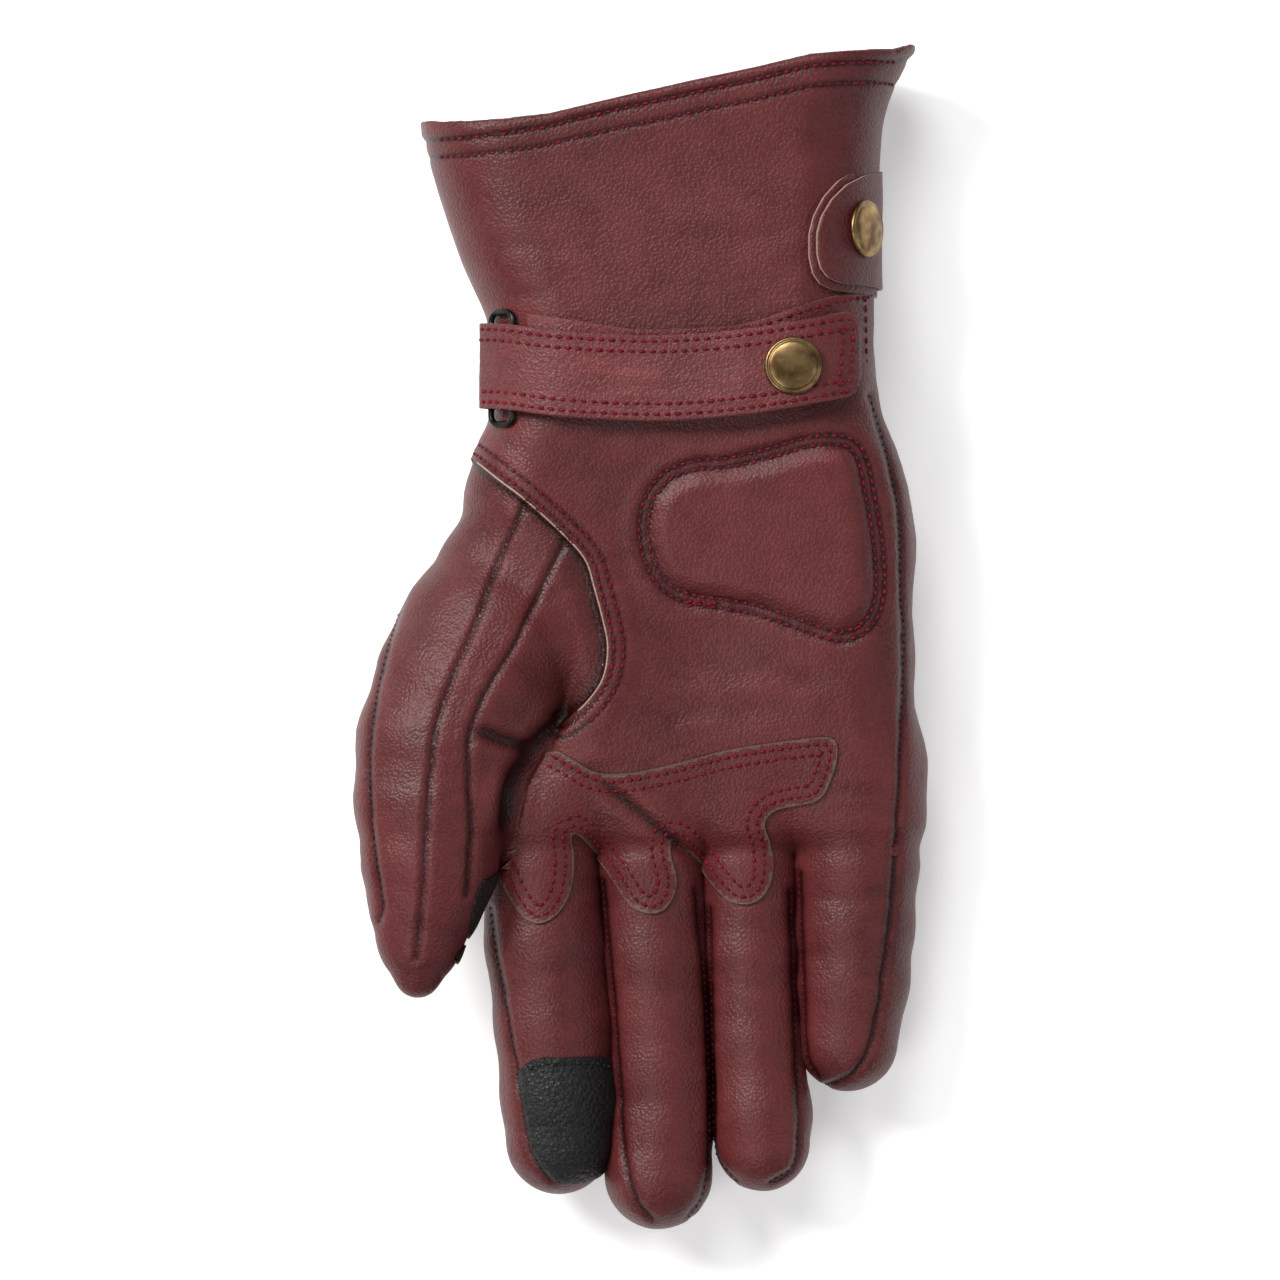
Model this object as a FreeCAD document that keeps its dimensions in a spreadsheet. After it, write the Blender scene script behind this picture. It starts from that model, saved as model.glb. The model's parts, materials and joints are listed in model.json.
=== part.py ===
import FreeCAD, Part
import math
import os
import Sketcher

# A right-hand leather riding glove that lies on its back: palm up (+Z), fingers towards -Y,
# cuff towards +Y and thumb towards -X. The origin is below the middle of the glove.

doc = FreeCAD.newDocument("riding_glove")
sheet = doc.addObject("Spreadsheet::Sheet", "Dims")

SIZES = {
    # skins, in order from the outside
    "leather": 1.1, "lining_gap": 0.2, "lining": 0.9,
    # hand sections: where each stands along the hand, its half sizes and its centre
    "wrist_top_along": 74, "wrist_low_along": 46,
    "wrist_half_width": 42, "wrist_half_depth": 19.5, "wrist_across": 9, "wrist_up": 22.5,
    "heel_along": 25, "heel_half_width": 46, "heel_half_depth": 17.5, "heel_across": 13, "heel_up": 20.5,
    "palm_along": -8, "palm_half_width": 44, "palm_half_depth": 16.5, "palm_across": 17, "palm_up": 19.5,
    "web_along": -24, "web_half_width": 43.6, "web_half_depth": 15.5, "web_across": 18.6, "web_up": 18.5,
    "knuckle_along": -45, "knuckle_half_width": 48.7, "knuckle_half_depth": 14,
    "knuckle_across": 14.3, "knuckle_up": 17,
    # cuff sections
    "cuff_low_along": 80, "cuff_low_half_width": 43.2, "cuff_low_half_depth": 20,
    "cuff_low_across": 5.3, "cuff_low_up": 22,
    "cuff_mid_along": 104, "cuff_mid_half_width": 47.9, "cuff_mid_half_depth": 20.5,
    "cuff_mid_across": 1.6, "cuff_mid_up": 22,
    "hem_along": 121.8, "hem_half_width": 55.8, "hem_half_depth": 23, "hem_across": 5.7, "hem_up": 23,
    "hem_turn": 8.6, "hem_fold": 2.4, "hem_thickness": 2.2,
    # side strip on the little-finger edge, and the thickness of its seam band
    "side_strip_half": 6, "side_strip_reach": 16,
    # heel pad, hidden under the palm leather
    "heel_pad_width": 50, "heel_pad_length": 38, "heel_pad_corner": 11, "heel_pad_foam": 3,
    "heel_pad_across": 26, "heel_pad_along": 20.7, "heel_pad_turn": -4, "pad_clearance": 0.3,
    # reinforcement sewn on the palm below the fingers
    "reinforcement": 1.1, "reinforcement_gap": 0.05, "band_width": 62, "band_length": 12, "band_corner": 4,
    "band_across": 11, "band_along": -30, "band_turn": 4, "tongue_width": 15, "tongue_corner": 5,
    "tongue_length": 20, "tongue_along": -34.5, "index_tongue_across": -19, "middle_tongue_across": 3,
    "ring_tongue_across": 25,
    # padded panel on the back of the hand
    "back_pad_width": 64, "back_pad_length": 56, "back_pad_corner": 12, "back_pad_height": 2.6,
    "back_pad_across": 17, "back_pad_along": -6, "back_pad_seat": 0.3, "back_pad_wall": 1.0,
    # elastic that gathers the back of the wrist
    "elastic_width": 12, "elastic": 0.8, "elastic_along": 60, "elastic_gap": 0.1,
    # thumb base that is sewn in the palm's thumb hole
    "base_root_radius": 13, "base_root_across": -18, "base_root_along": 33, "base_root_up": 20.5,
    "base_root_lean": -26, "base_root_rise": 8,
    "base_mid_radius": 21.5, "base_mid_across": -34, "base_mid_along": 2, "base_mid_up": 24.5,
    "base_mid_lean": -16, "base_mid_rise": 11,
    # finger stalls: gaps to the knuckles and to each other, root and tip radii, length to the
    # centre of the tip, and lean; the index finger's place sets the others'
    "knuckle_gap": 0.8, "finger_gap": 0.5, "finger_up": 17, "side_half": 4.6,
    "index_root": 12.6, "index_tip": 11.2, "index_length": 67.2, "index_across": -22.3, "index_lean": 3.5,
    "middle_root": 11.4, "middle_tip": 11.2, "middle_length": 75.2, "middle_lean": 2.3,
    "ring_root": 10.5, "ring_tip": 10.4, "ring_length": 67.3, "ring_lean": 2.2,
    "little_root": 13.3, "little_tip": 10.6, "little_length": 45.1, "little_lean": -1.3,
    "index_patch_from": 47,
    "thumb_root": 18.5, "thumb_tip": 11.5, "thumb_length": 46.5, "thumb_across": -44,
    "thumb_along": -22, "thumb_up": 29.6, "thumb_lean": -6.2, "thumb_rise": 6.2, "thumb_gap": 0.5,
    "thumb_patch_from": 30,
    # wrist strap: base layer, free layer folded back over the ring, and what lies between them
    "strap_width": 19, "strap_along": 60, "strap_seat": 0.5, "base_layer": 1.2, "strap_space": 2.5,
    "free_layer": 1.4, "strap_end_across": 48, "base_from": 34,
    # ring, keeper and the fold round the ring
    "ring_wire": 0.7, "ring_span": 7, "ring_long": 24.6, "ring_corner": 2, "ring_angle": 60,
    "ring_pitch": 45, "keeper_width": 5, "keeper_long": 10, "keeper_angle": 42, "keeper_top": 1.55,
    "keeper_bottom": 1.9, "keeper_clearance": 0.15,
    # cuff tab: two layers that wrap round the little-finger edge
    "tab_space": 2.5, "tab_layer": 1.1, "tab_ply_gap": 0.1, "tab_along": 90.8, "tab_width": 25,
    "tab_corner": 9, "tab_edge": 0.8, "tab_reach": 17, "tab_overhang": 4, "tab_anchor": 12, "tab_cut": 0.5,
    # press studs
    "cap_radius": 6.25, "cap_rim": 0.9, "cap_dome": 0.9, "cap_face": 5.4, "post_radius": 1.4,
    "post_clearance": 0.1, "stud_radius": 4.5, "stud_flange": 0.5, "stud_neck": 1.5, "stud_ball": 1.7,
    "stud_rise": 0.6, "socket_height": 1.1, "socket_hole": 2, "socket_from": 0.85, "snap_seat": 0.05,
    "strap_snap_turn": 4.3, "tab_snap_turn": 55,
}
for row, (alias, value) in enumerate(SIZES.items(), 1):
    sheet.set(f"A{row}", alias)
    sheet.set(f"B{row}", str(value))
    sheet.setAlias(f"B{row}", alias)
doc.recompute()

REACH = 300  # longer than the glove: boxes that only cut use it
VECTOR = FreeCAD.Vector
UP = VECTOR(0, 0, 1)
nodes = []


def cells(text):
    """Turn 'a_b + c' into 'Dims.a_b + Dims.c', leaving numbers and functions alone."""
    words = []
    for word in text.replace("(", " ( ").replace(")", " ) ").replace(";", " ; ").split():
        words.append(f"Dims.{word}" if word in SIZES else word)
    return " ".join(words).replace("sin (", "sin(").replace("cos (", "cos(")


def value(text):
    return float(sheet.evalExpression(cells(text)))


def place(thing, across="0", along="0", up="0", turn="0", pitch="0", roll="0"):
    """Bind a Placement to the sheet. turn, pitch and roll are about Z, Y and X."""
    position = f"vector({cells(across)}; {cells(along)}; {cells(up)})"
    rotation = f"rotation({cells(turn)}; {cells(pitch)}; {cells(roll)})"
    thing.setExpression("Placement", f"placement({position}; {rotation})")
    return thing


def primitive(kind, name, where=None, **sizes):
    thing = doc.addObject(f"Part::{kind}", name)
    for prop, text in sizes.items():
        thing.setExpression(prop, cells(text))
    return place(thing, **(where or {}))


def cut(name, base, tool):
    thing = doc.addObject("Part::Cut", name)
    thing.Base = base
    thing.Tool = tool
    return thing


def common(name, base, tool):
    thing = doc.addObject("Part::Common", name)
    thing.Base = base
    thing.Tool = tool
    return thing


def fuse(name, *shapes):
    thing = doc.addObject("Part::MultiFuse", name)
    thing.Shapes = list(shapes)
    return thing


def node(label, thing):
    thing.Label = label
    nodes.append(thing)
    return thing


def loft(name, sections, ruled):
    thing = doc.addObject("Part::Loft", name)
    thing.Sections = sections
    thing.Solid = True
    thing.Ruled = ruled
    return thing


def extrude(name, sketch, length):
    thing = doc.addObject("Part::Extrusion", name)
    thing.Base = sketch
    thing.DirMode = "Normal"
    thing.Solid = True
    thing.setExpression("LengthFwd", cells(length))
    return thing


def stadium(name, half_width, half_depth, **where):
    """Section with flat palm and back and round edges, drawn square to the hand."""
    sketch = doc.addObject("Sketcher::SketchObject", name)
    radius = value(half_depth)
    middle = value(half_width) - radius
    right = Part.Circle(VECTOR(middle, 0, 0), UP, radius)
    left = Part.Circle(VECTOR(-middle, 0, 0), UP, radius)
    sketch.addGeometry([
        Part.ArcOfCircle(right, -math.pi / 2, math.pi / 2),
        Part.LineSegment(VECTOR(middle, radius, 0), VECTOR(-middle, radius, 0)),
        Part.ArcOfCircle(left, math.pi / 2, 1.5 * math.pi),
        Part.LineSegment(VECTOR(-middle, -radius, 0), VECTOR(middle, -radius, 0)),
    ], False)
    for edge in range(4):
        sketch.addConstraint(Sketcher.Constraint("Tangent", edge, 2, (edge + 1) % 4, 1))
    sketch.addConstraint(Sketcher.Constraint("Horizontal", 1))
    sketch.addConstraint(Sketcher.Constraint("PointOnObject", 0, 3, -1))
    sketch.addConstraint(Sketcher.Constraint("Symmetric", 0, 3, 2, 3, -1, 1))
    named(sketch, "depth", Sketcher.Constraint("Radius", 0, radius), half_depth)
    named(sketch, "span", Sketcher.Constraint("DistanceX", 2, 3, 0, 3, 2 * middle),
          f"2 * ( ( {half_width} ) - ( {half_depth} ) )")
    return place(sketch, roll="90", **where)


def named(sketch, name, constraint, text):
    index = sketch.addConstraint(constraint)
    sketch.renameConstraint(index, name)
    sketch.setExpression(f"Constraints.{name}", cells(text))


def rounded(name, width, length, corner, **where):
    """Rectangle with round corners about its own centre."""
    sketch = doc.addObject("Sketcher::SketchObject", name)
    radius = value(corner)
    half_x = value(width) / 2 - radius
    half_y = value(length) / 2 - radius
    corners = [(half_x, half_y), (-half_x, half_y), (-half_x, -half_y), (half_x, -half_y)]
    for index, (x, y) in enumerate(corners):
        start = index * math.pi / 2
        circle = Part.Circle(VECTOR(x, y, 0), UP, radius)
        sketch.addGeometry(Part.ArcOfCircle(circle, start, start + math.pi / 2), False)
        next_x, next_y = corners[(index + 1) % 4]
        out = VECTOR(math.cos(start + math.pi / 2), math.sin(start + math.pi / 2), 0) * radius
        line = Part.LineSegment(VECTOR(x, y, 0) + out, VECTOR(next_x, next_y, 0) + out)
        sketch.addGeometry(line, False)
    for edge in range(8):
        sketch.addConstraint(Sketcher.Constraint("Tangent", edge, 2, (edge + 1) % 8, 1))
    for edge, way in ((1, "Horizontal"), (3, "Vertical"), (5, "Horizontal"), (7, "Vertical")):
        sketch.addConstraint(Sketcher.Constraint(way, edge))
    for edge in (2, 4, 6):
        sketch.addConstraint(Sketcher.Constraint("Equal", 0, edge))
    sketch.addConstraint(Sketcher.Constraint("Symmetric", 0, 3, 4, 3, -1, 1))
    named(sketch, "corner", Sketcher.Constraint("Radius", 0, radius), corner)
    named(sketch, "wide", Sketcher.Constraint("DistanceX", 2, 3, 0, 3, 2 * half_x),
          f"( {width} ) - 2 * ( {corner} )")
    named(sketch, "long", Sketcher.Constraint("DistanceY", 4, 3, 2, 3, 2 * half_y),
          f"( {length} ) - 2 * ( {corner} )")
    return place(sketch, **where)


# ---- skins of the hand and the cuff -------------------------------------------------------

HAND = (("wrist", "wrist_top_along"), ("wrist", "wrist_low_along"), ("heel", "heel_along"),
        ("palm", "palm_along"), ("web", "web_along"), ("knuckle", "knuckle_along"))
CUFF = (("wrist", "wrist_top_along"), ("cuff_low", "cuff_low_along"), ("cuff_mid", "cuff_mid_along"))
LINING_OUT = "leather + lining_gap"
LINING_IN = "leather + lining_gap + lining"


def section(name, station, along, inset):
    return stadium(name, f"{station}_half_width - ( {inset} )", f"{station}_half_depth - ( {inset} )",
                   across=f"{station}_across", along=along, up=f"{station}_up")


def hem_section(name, inset, beyond):
    """Section square to the slanted cuff edge, moved out of the cuff by beyond."""
    return stadium(name, f"hem_half_width - ( {inset} )", f"hem_half_depth - ( {inset} )",
                   across=f"hem_across - ( {beyond} ) * sin ( hem_turn )",
                   along=f"hem_along + ( {beyond} ) * cos ( hem_turn )", up="hem_up", turn="hem_turn")


def hand_skin(name, inset):
    sections = [section(f"{name}_{number}", station, along, inset)
                for number, (station, along) in enumerate(HAND)]
    return loft(name, sections, True)


def cuff_skin(name, inset):
    sections = [section(f"{name}_{number}", station, along, inset)
                for number, (station, along) in enumerate(CUFF)]
    sections.append(hem_section(f"{name}_hem", inset, "0"))
    return loft(name, sections, True)


def half_box(name, up, above):
    """Everything above or below a height."""
    low = up if above else f"{up} - {REACH}"
    return primitive("Box", name, dict(across=f"{-REACH / 2}", along=f"{-REACH / 2}", up=low),
                     Length=f"{REACH}", Width=f"{REACH}", Height=f"{REACH}")


# ---- thumb base: a round mound that runs from the thumb hole to the stall -----------------

def thumb_base_skin(name, inset):
    sections = []
    for part in ("base_root", "base_mid", "thumb"):
        radius = "thumb_root" if part == "thumb" else f"{part}_radius"
        lean, rise = f"{part}_lean", f"{part}_rise"
        circle = primitive("Circle", f"{name}_{part}",
                           dict(across=f"{part}_across", along=f"{part}_along", up=f"{part}_up",
                                turn=lean, roll=f"90 - {rise}"),
                           Radius=f"{radius} - ( {inset} )")
        sections.append(circle)
    return loft(name, sections, False)


def thumb_base():
    palm_side = hand_skin("hand_for_thumb", "0")
    outside = thumb_base_skin("base_outside", "0")
    leather = cut("base_leather", outside, thumb_base_skin("base_inside", "leather"))
    sewn = cut("base_sewn", leather, palm_side)
    level = "( base_mid_up + thumb_up ) / 2"
    node("thumb_base_panel", common("base_front", sewn, half_box("base_over", level, True)))
    node("thumb_base_back", common("base_rear", sewn, half_box("base_under", level, False)))
    lining = cut("base_lining_ring", thumb_base_skin("base_lining_out", LINING_OUT),
                 thumb_base_skin("base_lining_in", LINING_IN))
    node("thumb_base_lining", cut("base_lining", lining, palm_side))
    return outside


# ---- hand: palm, back and side leather, lining and pads -----------------------------------

def palm_frame(name, width, length, corner, across, along, turn, low):
    """Upright prism with the outline of a pad or a patch."""
    sketch = rounded(f"{name}_outline", width, length, corner,
                     across=across, along=along, up=low, turn=turn)
    return extrude(name, sketch, f"{REACH}")


def reinforcement_outline():
    pieces = [palm_frame("band", "band_width", "band_length", "band_corner",
                         "band_across", "band_along", "band_turn", "palm_up")]
    for finger in ("index", "middle", "ring"):
        pieces.append(palm_frame(f"{finger}_tongue", "tongue_width", "tongue_length", "tongue_corner",
                                 f"{finger}_tongue_across", "tongue_along", "0", "palm_up"))
    return fuse("reinforcement_outline", *pieces)


def hand(thumb_outside):
    outside = hand_skin("hand_outside", "0")
    leather = cut("hand_leather", outside, hand_skin("hand_inside", "leather"))
    strip = primitive("Box", "strip_zone",
                      dict(across="knuckle_across + knuckle_half_width - side_strip_reach",
                           along="knuckle_along", up="palm_up - side_strip_half"),
                      Length=f"{REACH}", Width="wrist_low_along - knuckle_along",
                      Height="2 * side_strip_half")
    for label, above in (("palm", True), ("back", False)):
        side = common(f"{label}_side", leather, half_box(f"{label}_zone", "palm_up", above))
        holed = cut(f"{label}_holed", side, thumb_outside)
        node(f"{label}_panel", cut(f"{label}_leather", holed, strip))
    node("side_strip", common("side_leather", leather, strip))

    pad = palm_frame("heel_pad_zone", "heel_pad_width", "heel_pad_length", "heel_pad_corner",
                     "heel_pad_across", "heel_pad_along", "heel_pad_turn", "palm_up")
    pad_room = palm_frame("heel_pad_room", "heel_pad_width + 2 * pad_clearance",
                          "heel_pad_length + 2 * pad_clearance", "heel_pad_corner + pad_clearance",
                          "heel_pad_across", "heel_pad_along", "heel_pad_turn", "palm_up")
    under_leather = common("under_leather", hand_skin("foam_top", "leather + pad_clearance"), pad)
    node("heel_pad_foam", cut("heel_foam", under_leather,
                              hand_skin("foam_bottom", "leather + heel_pad_foam")))

    elastic_zone = primitive("Box", "elastic_zone",
                             dict(across="wrist_across - wrist_half_width + wrist_half_depth",
                                  along="elastic_along - elastic_width / 2",
                                  up="wrist_up - wrist_half_depth"),
                             Length="2 * ( wrist_half_width - wrist_half_depth )",
                             Width="elastic_width", Height="wrist_half_depth / 2")
    elastic_layer = cut("elastic_layer", hand_skin("elastic_out", "leather + elastic_gap"),
                        hand_skin("elastic_in", "leather + elastic_gap + elastic"))
    node("wrist_elastic", common("elastic_strip", elastic_layer, elastic_zone))

    lining = cut("hand_lining_ring", hand_skin("hand_lining_out", LINING_OUT),
                 hand_skin("hand_lining_in", LINING_IN))
    open_lining = cut("hand_lining_open", lining, fuse("lining_openings", thumb_outside, pad_room,
                                                      elastic_zone))
    node("hand_lining", open_lining)

    over = cut("over_palm", hand_skin("over_out", "0 - reinforcement - reinforcement_gap"),
               hand_skin("over_in", "0 - reinforcement_gap"))
    patch = common("reinforcement_patch", over, reinforcement_outline())
    node("palm_reinforcement", cut("reinforcement_clear", patch, thumb_outside))


def back_pad():
    """Padded panel on the back: a leather cover with a flat face, and its foam."""
    bottom = "palm_up - palm_half_depth - back_pad_seat - back_pad_height"
    where = dict(across="back_pad_across", along="back_pad_along")
    block = extrude("back_pad_block", rounded("back_pad_outline", "back_pad_width", "back_pad_length",
                                              "back_pad_corner", up=bottom, **where), "back_pad_height")
    width = "back_pad_width - 2 * back_pad_wall"
    length = "back_pad_length - 2 * back_pad_wall"
    corner = "back_pad_corner - back_pad_wall"
    pocket = extrude("back_pad_pocket", rounded("back_pad_hollow", width, length, corner,
                                                up=f"{bottom} + back_pad_wall", **where),
                     "back_pad_height")
    node("back_pad_cover", cut("back_cover", block, pocket))
    foam = extrude("back_foam", rounded("back_foam_outline", f"{width} - 2 * pad_clearance",
                                        f"{length} - 2 * pad_clearance", f"{corner} - pad_clearance",
                                        up=f"{bottom} + back_pad_wall", **where),
                   "back_pad_height - back_pad_wall")
    node("back_pad_foam", foam)


# ---- cuff ----------------------------------------------------------------------------------

def cuff():
    leather = cut("cuff_leather", cuff_skin("cuff_outside", "0"), cuff_skin("cuff_inside", "leather"))
    node("cuff_palm_panel", common("cuff_front", leather, half_box("cuff_over", "wrist_up", True)))
    node("cuff_back_panel", common("cuff_rear", leather, half_box("cuff_under", "wrist_up", False)))
    node("cuff_lining", cut("cuff_inner", cuff_skin("cuff_lining_out", LINING_OUT),
                            cuff_skin("cuff_lining_in", LINING_IN)))
    outer = loft("hem_outer", [hem_section("hem_outer_low", "0", "0"),
                               hem_section("hem_outer_top", "0", "hem_fold")], True)
    inner = loft("hem_inner", [hem_section("hem_inner_low", "hem_thickness", "0"),
                               hem_section("hem_inner_top", "hem_thickness", "hem_fold")], True)
    node("cuff_hem", cut("hem_ring", outer, inner))


# ---- finger and thumb stalls ---------------------------------------------------------------

FINGER_ACROSS = {"index": "index_across"}
for finger, neighbour in (("middle", "index"), ("ring", "middle"), ("little", "ring")):
    FINGER_ACROSS[finger] = f"{FINGER_ACROSS[neighbour]} + {neighbour}_root + finger_gap + {finger}_root"


def stall_skin(name, finger, inset):
    """Tapered stall with a round tip, along -Y from its root at the origin."""
    cone = primitive("Cone", f"{name}_cone", dict(roll="90"), Radius1=f"{finger}_root - ( {inset} )",
                     Radius2=f"{finger}_tip - ( {inset} )", Height=f"{finger}_length")
    tip = primitive("Sphere", f"{name}_tip", dict(along=f"0 - {finger}_length"),
                    Radius=f"{finger}_tip - ( {inset} )")
    return fuse(name, cone, tip)


def stall(finger, labels, sides, where, patch=None):
    """Leather panels and lining of one stall. sides are the edges (+1 or -1 across) that have a strip.

    patch is (panel, label, distance from the root) for a touch patch sewn in that panel's tip.
    """
    leather = cut(f"{finger}_leather", stall_skin(f"{finger}_outside", finger, "0"),
                  stall_skin(f"{finger}_inside", finger, "leather"))
    zones = {}
    for side in sides:
        zones[side] = primitive("Box", f"{finger}_zone_{'plus' if side > 0 else 'minus'}",
                                dict(across="0" if side > 0 else f"{-REACH}", along=f"{-REACH}",
                                     up="0 - side_half"),
                                Length=f"{REACH}", Width=f"{REACH}", Height="2 * side_half")
    zone_list = list(zones.values())
    side_zone = fuse(f"{finger}_zones", *zone_list) if len(zone_list) > 1 else zone_list[0]
    faces = cut(f"{finger}_faces", leather, side_zone)
    panels = {
        "front": common(f"{finger}_front_skin", faces, half_box(f"{finger}_over", "0", True)),
        "back": common(f"{finger}_back_skin", faces, half_box(f"{finger}_under", "0", False)),
    }
    for side, zone in zones.items():
        panels[side] = common(f"{finger}_side_{'plus' if side > 0 else 'minus'}", leather, zone)
    if patch:
        panel, label, start = patch
        far = primitive("Box", f"{finger}_patch_zone",
                        dict(across=f"{-REACH / 2}", along=f"0 - {start} - {REACH}", up=f"{-REACH / 2}"),
                        Length=f"{REACH}", Width=f"{REACH}", Height=f"{REACH}")
        whole = panels[panel]
        panels[panel] = cut(f"{finger}_{panel}_short", whole, far)
        node(label, place(common(f"{finger}_patch", whole, far), **where))
    for key, label in labels.items():
        node(label, place(panels[key], **where))
    lining = cut(f"{finger}_inner", stall_skin(f"{finger}_lining_out", finger, LINING_OUT),
                 stall_skin(f"{finger}_lining_in", finger, LINING_IN))
    node(f"{labels['front'].rsplit('_', 1)[0]}_lining", place(lining, **where))


def stalls():
    names = {"index": "index_finger", "middle": "middle_finger", "ring": "ring_finger",
             "little": "little_finger"}
    sides = {"index": {1: "inner_side"}, "middle": {-1: "outer_side", 1: "inner_side"},
             "ring": {-1: "outer_side", 1: "inner_side"}, "little": {-1: "outer_side"}}
    for finger, long_name in names.items():
        labels = {"front": f"{long_name}_front", "back": f"{long_name}_back"}
        for side, word in sides[finger].items():
            labels[side] = f"{long_name}_{word}"
        where = dict(across=FINGER_ACROSS[finger], along="knuckle_along - knuckle_gap", up="finger_up",
                     turn=f"{finger}_lean")
        patch = ("front", "index_touch_patch", "index_patch_from") if finger == "index" else None
        stall(finger, labels, list(sides[finger]), where, patch)
    thumb_where = dict(across="thumb_across + thumb_gap * sin ( thumb_lean )",
                       along="thumb_along - thumb_gap * cos ( thumb_lean )",
                       up="thumb_up + thumb_gap * sin ( thumb_rise )",
                       turn="thumb_lean", roll="0 - thumb_rise")
    stall("thumb", {"front": "thumb_front", "back": "thumb_back", -1: "thumb_outer_side",
                    1: "thumb_gusset"}, [-1, 1], thumb_where,
          (1, "thumb_touch_patch", "thumb_patch_from"))


# ---- press studs ---------------------------------------------------------------------------

def on_arc(across, up, radius, turn, along):
    """Placement on an arc about an axis along the hand, turned from upright towards +X."""
    return dict(across=f"{across} + ( {radius} ) * sin ( {turn} )", along=along,
                up=f"{up} + ( {radius} ) * cos ( {turn} )", pitch=turn)


def press_stud(name, seat, stack, layers, where):
    """Stud, socket and cap. seat, stack and layers are radii on the arc that where() measures."""
    flange = primitive("Cylinder", f"{name}_flange", Radius="stud_radius", Height="stud_flange")
    neck = primitive("Cylinder", f"{name}_neck", Radius="stud_neck", Height="stud_rise")
    ball = primitive("Sphere", f"{name}_ball", dict(up="stud_rise"), Radius="stud_ball")
    above = half_box(f"{name}_above", "0", True)
    stud = common(f"{name}_stud_top", fuse(f"{name}_stud_all", flange, neck, ball), above)
    node(f"{name}_stud", place(stud, **where(f"{seat} + snap_seat")))
    ring = primitive("Cylinder", f"{name}_ring", Radius="stud_radius", Height="socket_height")
    hole = primitive("Cylinder", f"{name}_ring_hole", Radius="socket_hole", Height="socket_height")
    socket = cut(f"{name}_socket_ring", ring, hole)
    node(f"{name}_socket", place(socket, **where(f"{seat} + socket_from")))
    rim = primitive("Cylinder", f"{name}_rim", Radius="cap_radius", Height="cap_rim")
    face = primitive("Cone", f"{name}_face", dict(up="cap_rim"), Radius1="cap_radius",
                     Radius2="cap_face", Height="cap_dome")
    post = primitive("Cylinder", f"{name}_post", dict(up=f"0 - ( {layers} )"), Radius="post_radius",
                     Height=f"( {layers} ) + cap_rim")
    cap = fuse(f"{name}_cap_all", rim, face, post)
    node(f"{name}_cap", place(cap, **where(f"{seat} + {stack} + {layers} + snap_seat")))
    return primitive("Cylinder", f"{name}_post_hole", where(seat), Radius="post_radius + post_clearance",
                     Height=f"{REACH / 10}")


# ---- wrist strap and its ring ---------------------------------------------------------------

STRAP_FACE = "strap_seat + base_layer"
STRAP_UNDER = f"{STRAP_FACE} + strap_space"
STRAP_OVER = f"{STRAP_UNDER} + free_layer"
RING_LIFT = f"{STRAP_FACE} + strap_space / 2"
LEFT_ARC = "wrist_across - wrist_half_width + wrist_half_depth"
RIGHT_ARC = "wrist_across + wrist_half_width - wrist_half_depth"
RING_RADIUS = f"wrist_half_depth + {RING_LIFT}"
RING_X = f"{LEFT_ARC} - ( {RING_RADIUS} ) * sin ( ring_angle )"
RING_Z = f"wrist_up + ( {RING_RADIUS} ) * cos ( ring_angle )"


def strap_band(name, inner, outer):
    """Layer of the strap all round the wrist, between two distances from its leather."""
    bands = []
    for word, offset in (("out", outer), ("in", inner)):
        sketch = stadium(f"{name}_{word}_section", f"wrist_half_width + {offset}",
                         f"wrist_half_depth + {offset}", across="wrist_across",
                         along="strap_along + strap_width / 2", up="wrist_up")
        bands.append(extrude(f"{name}_{word}", sketch, "strap_width"))
    return cut(name, *bands)


def beyond_ray(name, angle, right_side):
    """Half space on one side of the ray that leaves the left arc's axis at an angle from upright."""
    shift = "0" if right_side else f"{REACH}"
    return primitive("Box", name,
                     dict(across=f"{LEFT_ARC} + {REACH / 2} * sin ( {angle} ) - {shift} * cos ( {angle} )",
                          along=f"{-REACH / 2}",
                          up=f"wrist_up - {REACH / 2} * cos ( {angle} ) - {shift} * sin ( {angle} )",
                          pitch=f"0 - {angle}"),
                     Length=f"{REACH}", Width=f"{REACH}", Height=f"{REACH}")


def strap():
    def where(radius):
        return on_arc(RIGHT_ARC, "wrist_up", f"wrist_half_depth + {radius}", "strap_snap_turn",
                      "strap_along")

    hole = press_stud("strap_snap", STRAP_FACE, "strap_space", "free_layer", where)
    above = half_box("strap_above", "wrist_up", True)
    base = common("strap_base_top", strap_band("strap_base_band", "strap_seat", STRAP_FACE), above)
    node("strap_base", common("strap_base_layer", base, beyond_ray("base_ray", "base_from", True)))

    band = common("free_band_top", strap_band("free_band", STRAP_UNDER, STRAP_OVER), above)
    limit = primitive("Box", "free_limit", dict(across=f"strap_end_across - {REACH}",
                                                along=f"{-REACH / 2}", up="0"),
                      Length=f"{REACH}", Width=f"{REACH}", Height=f"{REACH}")
    free = common("free_length", common("free_ray_side", band, beyond_ray("free_ray", "ring_angle", True)),
                  limit)
    centre = dict(across=RING_X, along="strap_along + strap_width / 2", up=RING_Z, roll="90")
    fold = cut("fold_tube",
               primitive("Cylinder", "fold_outer", centre, Radius="strap_space / 2 + free_layer",
                         Height="strap_width"),
               primitive("Cylinder", "fold_inner", centre, Radius="strap_space / 2",
                         Height="strap_width"))
    half_fold = common("fold_half", fold, beyond_ray("fold_ray", "ring_angle", False))
    node("strap_free_end", cut("strap_free", fuse("free_and_fold", free, half_fold), hole))


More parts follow.
